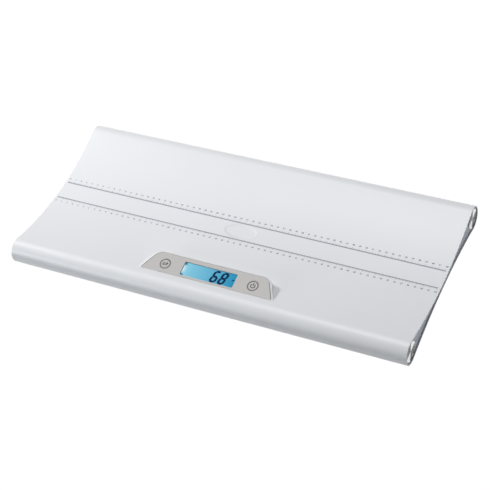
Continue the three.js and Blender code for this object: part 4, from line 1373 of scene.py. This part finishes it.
class SCALE_OT_stage(bpy.types.Operator):
    """Set the floor, the lights and the camera"""

    bl_idname = "baby_scale.stage"
    bl_label = "Stage"

    def light(self, sizes, name, azimuth, elevation, side, tone):
        """A square soft light that faces the scale from the given direction."""
        azimuth, elevation = math.radians(azimuth), math.radians(elevation)
        from_scale = Vector((math.cos(elevation) * math.cos(azimuth),
                             math.cos(elevation) * math.sin(azimuth), math.sin(elevation)))
        clear_selection()
        bpy.ops.object.light_add(type="AREA",
                                 location=Vector((0, 0, sizes.aim)) + from_scale * sizes.distance)
        lamp = bpy.context.view_layer.objects.active
        lamp.name = name
        lamp.data.size = side
        lamp.data.energy = getattr(sizes, f"{name}_power")
        lamp.data.color = tone
        lamp.rotation_euler = (-from_scale).to_track_quat("-Z", "Y").to_euler()

    def floor(self, sizes):
        """A floor that is white to the camera, pale to the light, and clear from below."""
        clear_selection()
        bpy.ops.mesh.primitive_plane_add(size=sizes.floor, location=(0, 0, -sizes.floor_drop))
        floor = new_piece("floor")
        look = Look("floor_pale", Roughness=0.9)
        look.feed("Base Color", tuple(sizes.floor_colour))
        path = look.add("ShaderNodeLightPath")
        mirrored = look.math("MULTIPLY", path.outputs["Is Glossy Ray"], sizes.floor_mirrored)
        seen = look.math("MAXIMUM", path.outputs["Is Camera Ray"], mirrored)
        white = look.add("ShaderNodeEmission", Color=(1.0, 1.0, 1.0), Strength=sizes.floor_white)
        clear = look.add("ShaderNodeBsdfTransparent")
        below = look.add("ShaderNodeNewGeometry").outputs["Backfacing"]
        shown = look.shader
        for other, factor in ((white, seen), (clear, below)):
            mixed = look.add("ShaderNodeMixShader", Fac=factor)
            look.put(mixed.inputs[1], shown.outputs[0])
            look.put(mixed.inputs[2], other.outputs[0])
            shown = mixed
        look.put(look.output.inputs["Surface"], shown.outputs[0])
        floor.data.materials.append(look.material)

    def surroundings(self, context, sizes):
        """White to the camera, and a faint cool light to the scale."""
        world = bpy.data.worlds.new("studio")
        context.scene.world = world
        world.use_nodes = True
        nodes = world.node_tree.nodes
        around = nodes["Background"]
        around.inputs["Color"].default_value = (0.93, 0.96, 1.0, 1.0)
        around.inputs["Strength"].default_value = sizes.world
        backdrop = nodes.new("ShaderNodeBackground")
        backdrop.inputs["Color"].default_value = (1.0, 1.0, 1.0, 1.0)
        chosen = nodes.new("ShaderNodeMixShader")
        link = world.node_tree.links.new
        link(nodes.new("ShaderNodeLightPath").outputs["Is Camera Ray"], chosen.inputs[0])
        link(around.outputs[0], chosen.inputs[1])
        link(backdrop.outputs[0], chosen.inputs[2])
        link(chosen.outputs[0], nodes["World Output"].inputs["Surface"])

    def camera(self, context, sizes):
        bpy.ops.object.camera_add(location=sizes.camera_place)
        camera = bpy.context.view_layer.objects.active
        camera.name = "camera"
        camera.data.lens = sizes.lens
        camera.data.sensor_width = 36
        camera.data.clip_start = 0.05
        forward = Vector((-math.sin(sizes.bearing) * math.cos(sizes.elevation),
                          math.cos(sizes.bearing) * math.cos(sizes.elevation), -math.sin(sizes.elevation)))
        level = forward.to_track_quat("-Z", "Y")
        camera.rotation_euler = (level @ Quaternion((0, 0, 1), sizes.roll)).to_euler()
        context.scene.camera = camera

    def execute(self, context):
        sizes = context.scene.stage_sizes
        self.floor(sizes)
        for name, settings in LIGHTS.items():
            self.light(sizes, name, *settings)
        self.surroundings(context, sizes)
        self.camera(context, sizes)
        context.scene.view_settings.view_transform = "Standard"
        return {"FINISHED"}


GROUPS = {
    "tray_sizes": TraySizes,
    "console_sizes": ConsoleSizes,
    "display_sizes": DisplaySizes,
    "key_sizes": KeySizes,
    "ruler_sizes": RulerSizes,
    "fitting_sizes": FittingSizes,
    "stage_sizes": StageSizes,
}
OPERATORS = (
    SCALE_OT_fittings,
    SCALE_OT_stage,
    SCALE_OT_tray,
    SCALE_OT_discs,
    SCALE_OT_console,
    SCALE_OT_display,
    SCALE_OT_keys,
    SCALE_OT_rulers,
    SCALE_OT_feet,
    SCALE_OT_door,
)


class SCALE_PT_panel(bpy.types.Panel):
    """Sizes of the baby scale and the steps that model it"""

    bl_label = "Baby scale"
    bl_idname = "SCALE_PT_panel"
    bl_space_type = "VIEW_3D"
    bl_region_type = "UI"
    bl_category = "Baby scale"

    def draw(self, context):
        layout = self.layout
        for operator in OPERATORS:
            layout.operator(operator.bl_idname)
        for name, group in GROUPS.items():
            column = layout.box().column()
            column.label(text=name.replace("_", " ").capitalize())
            for key in group.__annotations__:
                column.prop(getattr(context.scene, name), key)


def register():
    for kind in (*GROUPS.values(), *OPERATORS, SCALE_PT_panel):
        bpy.utils.register_class(kind)
    for name, group in GROUPS.items():
        setattr(bpy.types.Scene, name, PointerProperty(type=group))


def unregister():
    for name in GROUPS:
        delattr(bpy.types.Scene, name)
    for kind in reversed((*GROUPS.values(), *OPERATORS, SCALE_PT_panel)):
        bpy.utils.unregister_class(kind)


def main():
    register()
    for operator in OPERATORS:
        getattr(bpy.ops.baby_scale, operator.bl_idname.split(".")[1])()
    clear_selection()


if __name__ == "__main__":
    main()
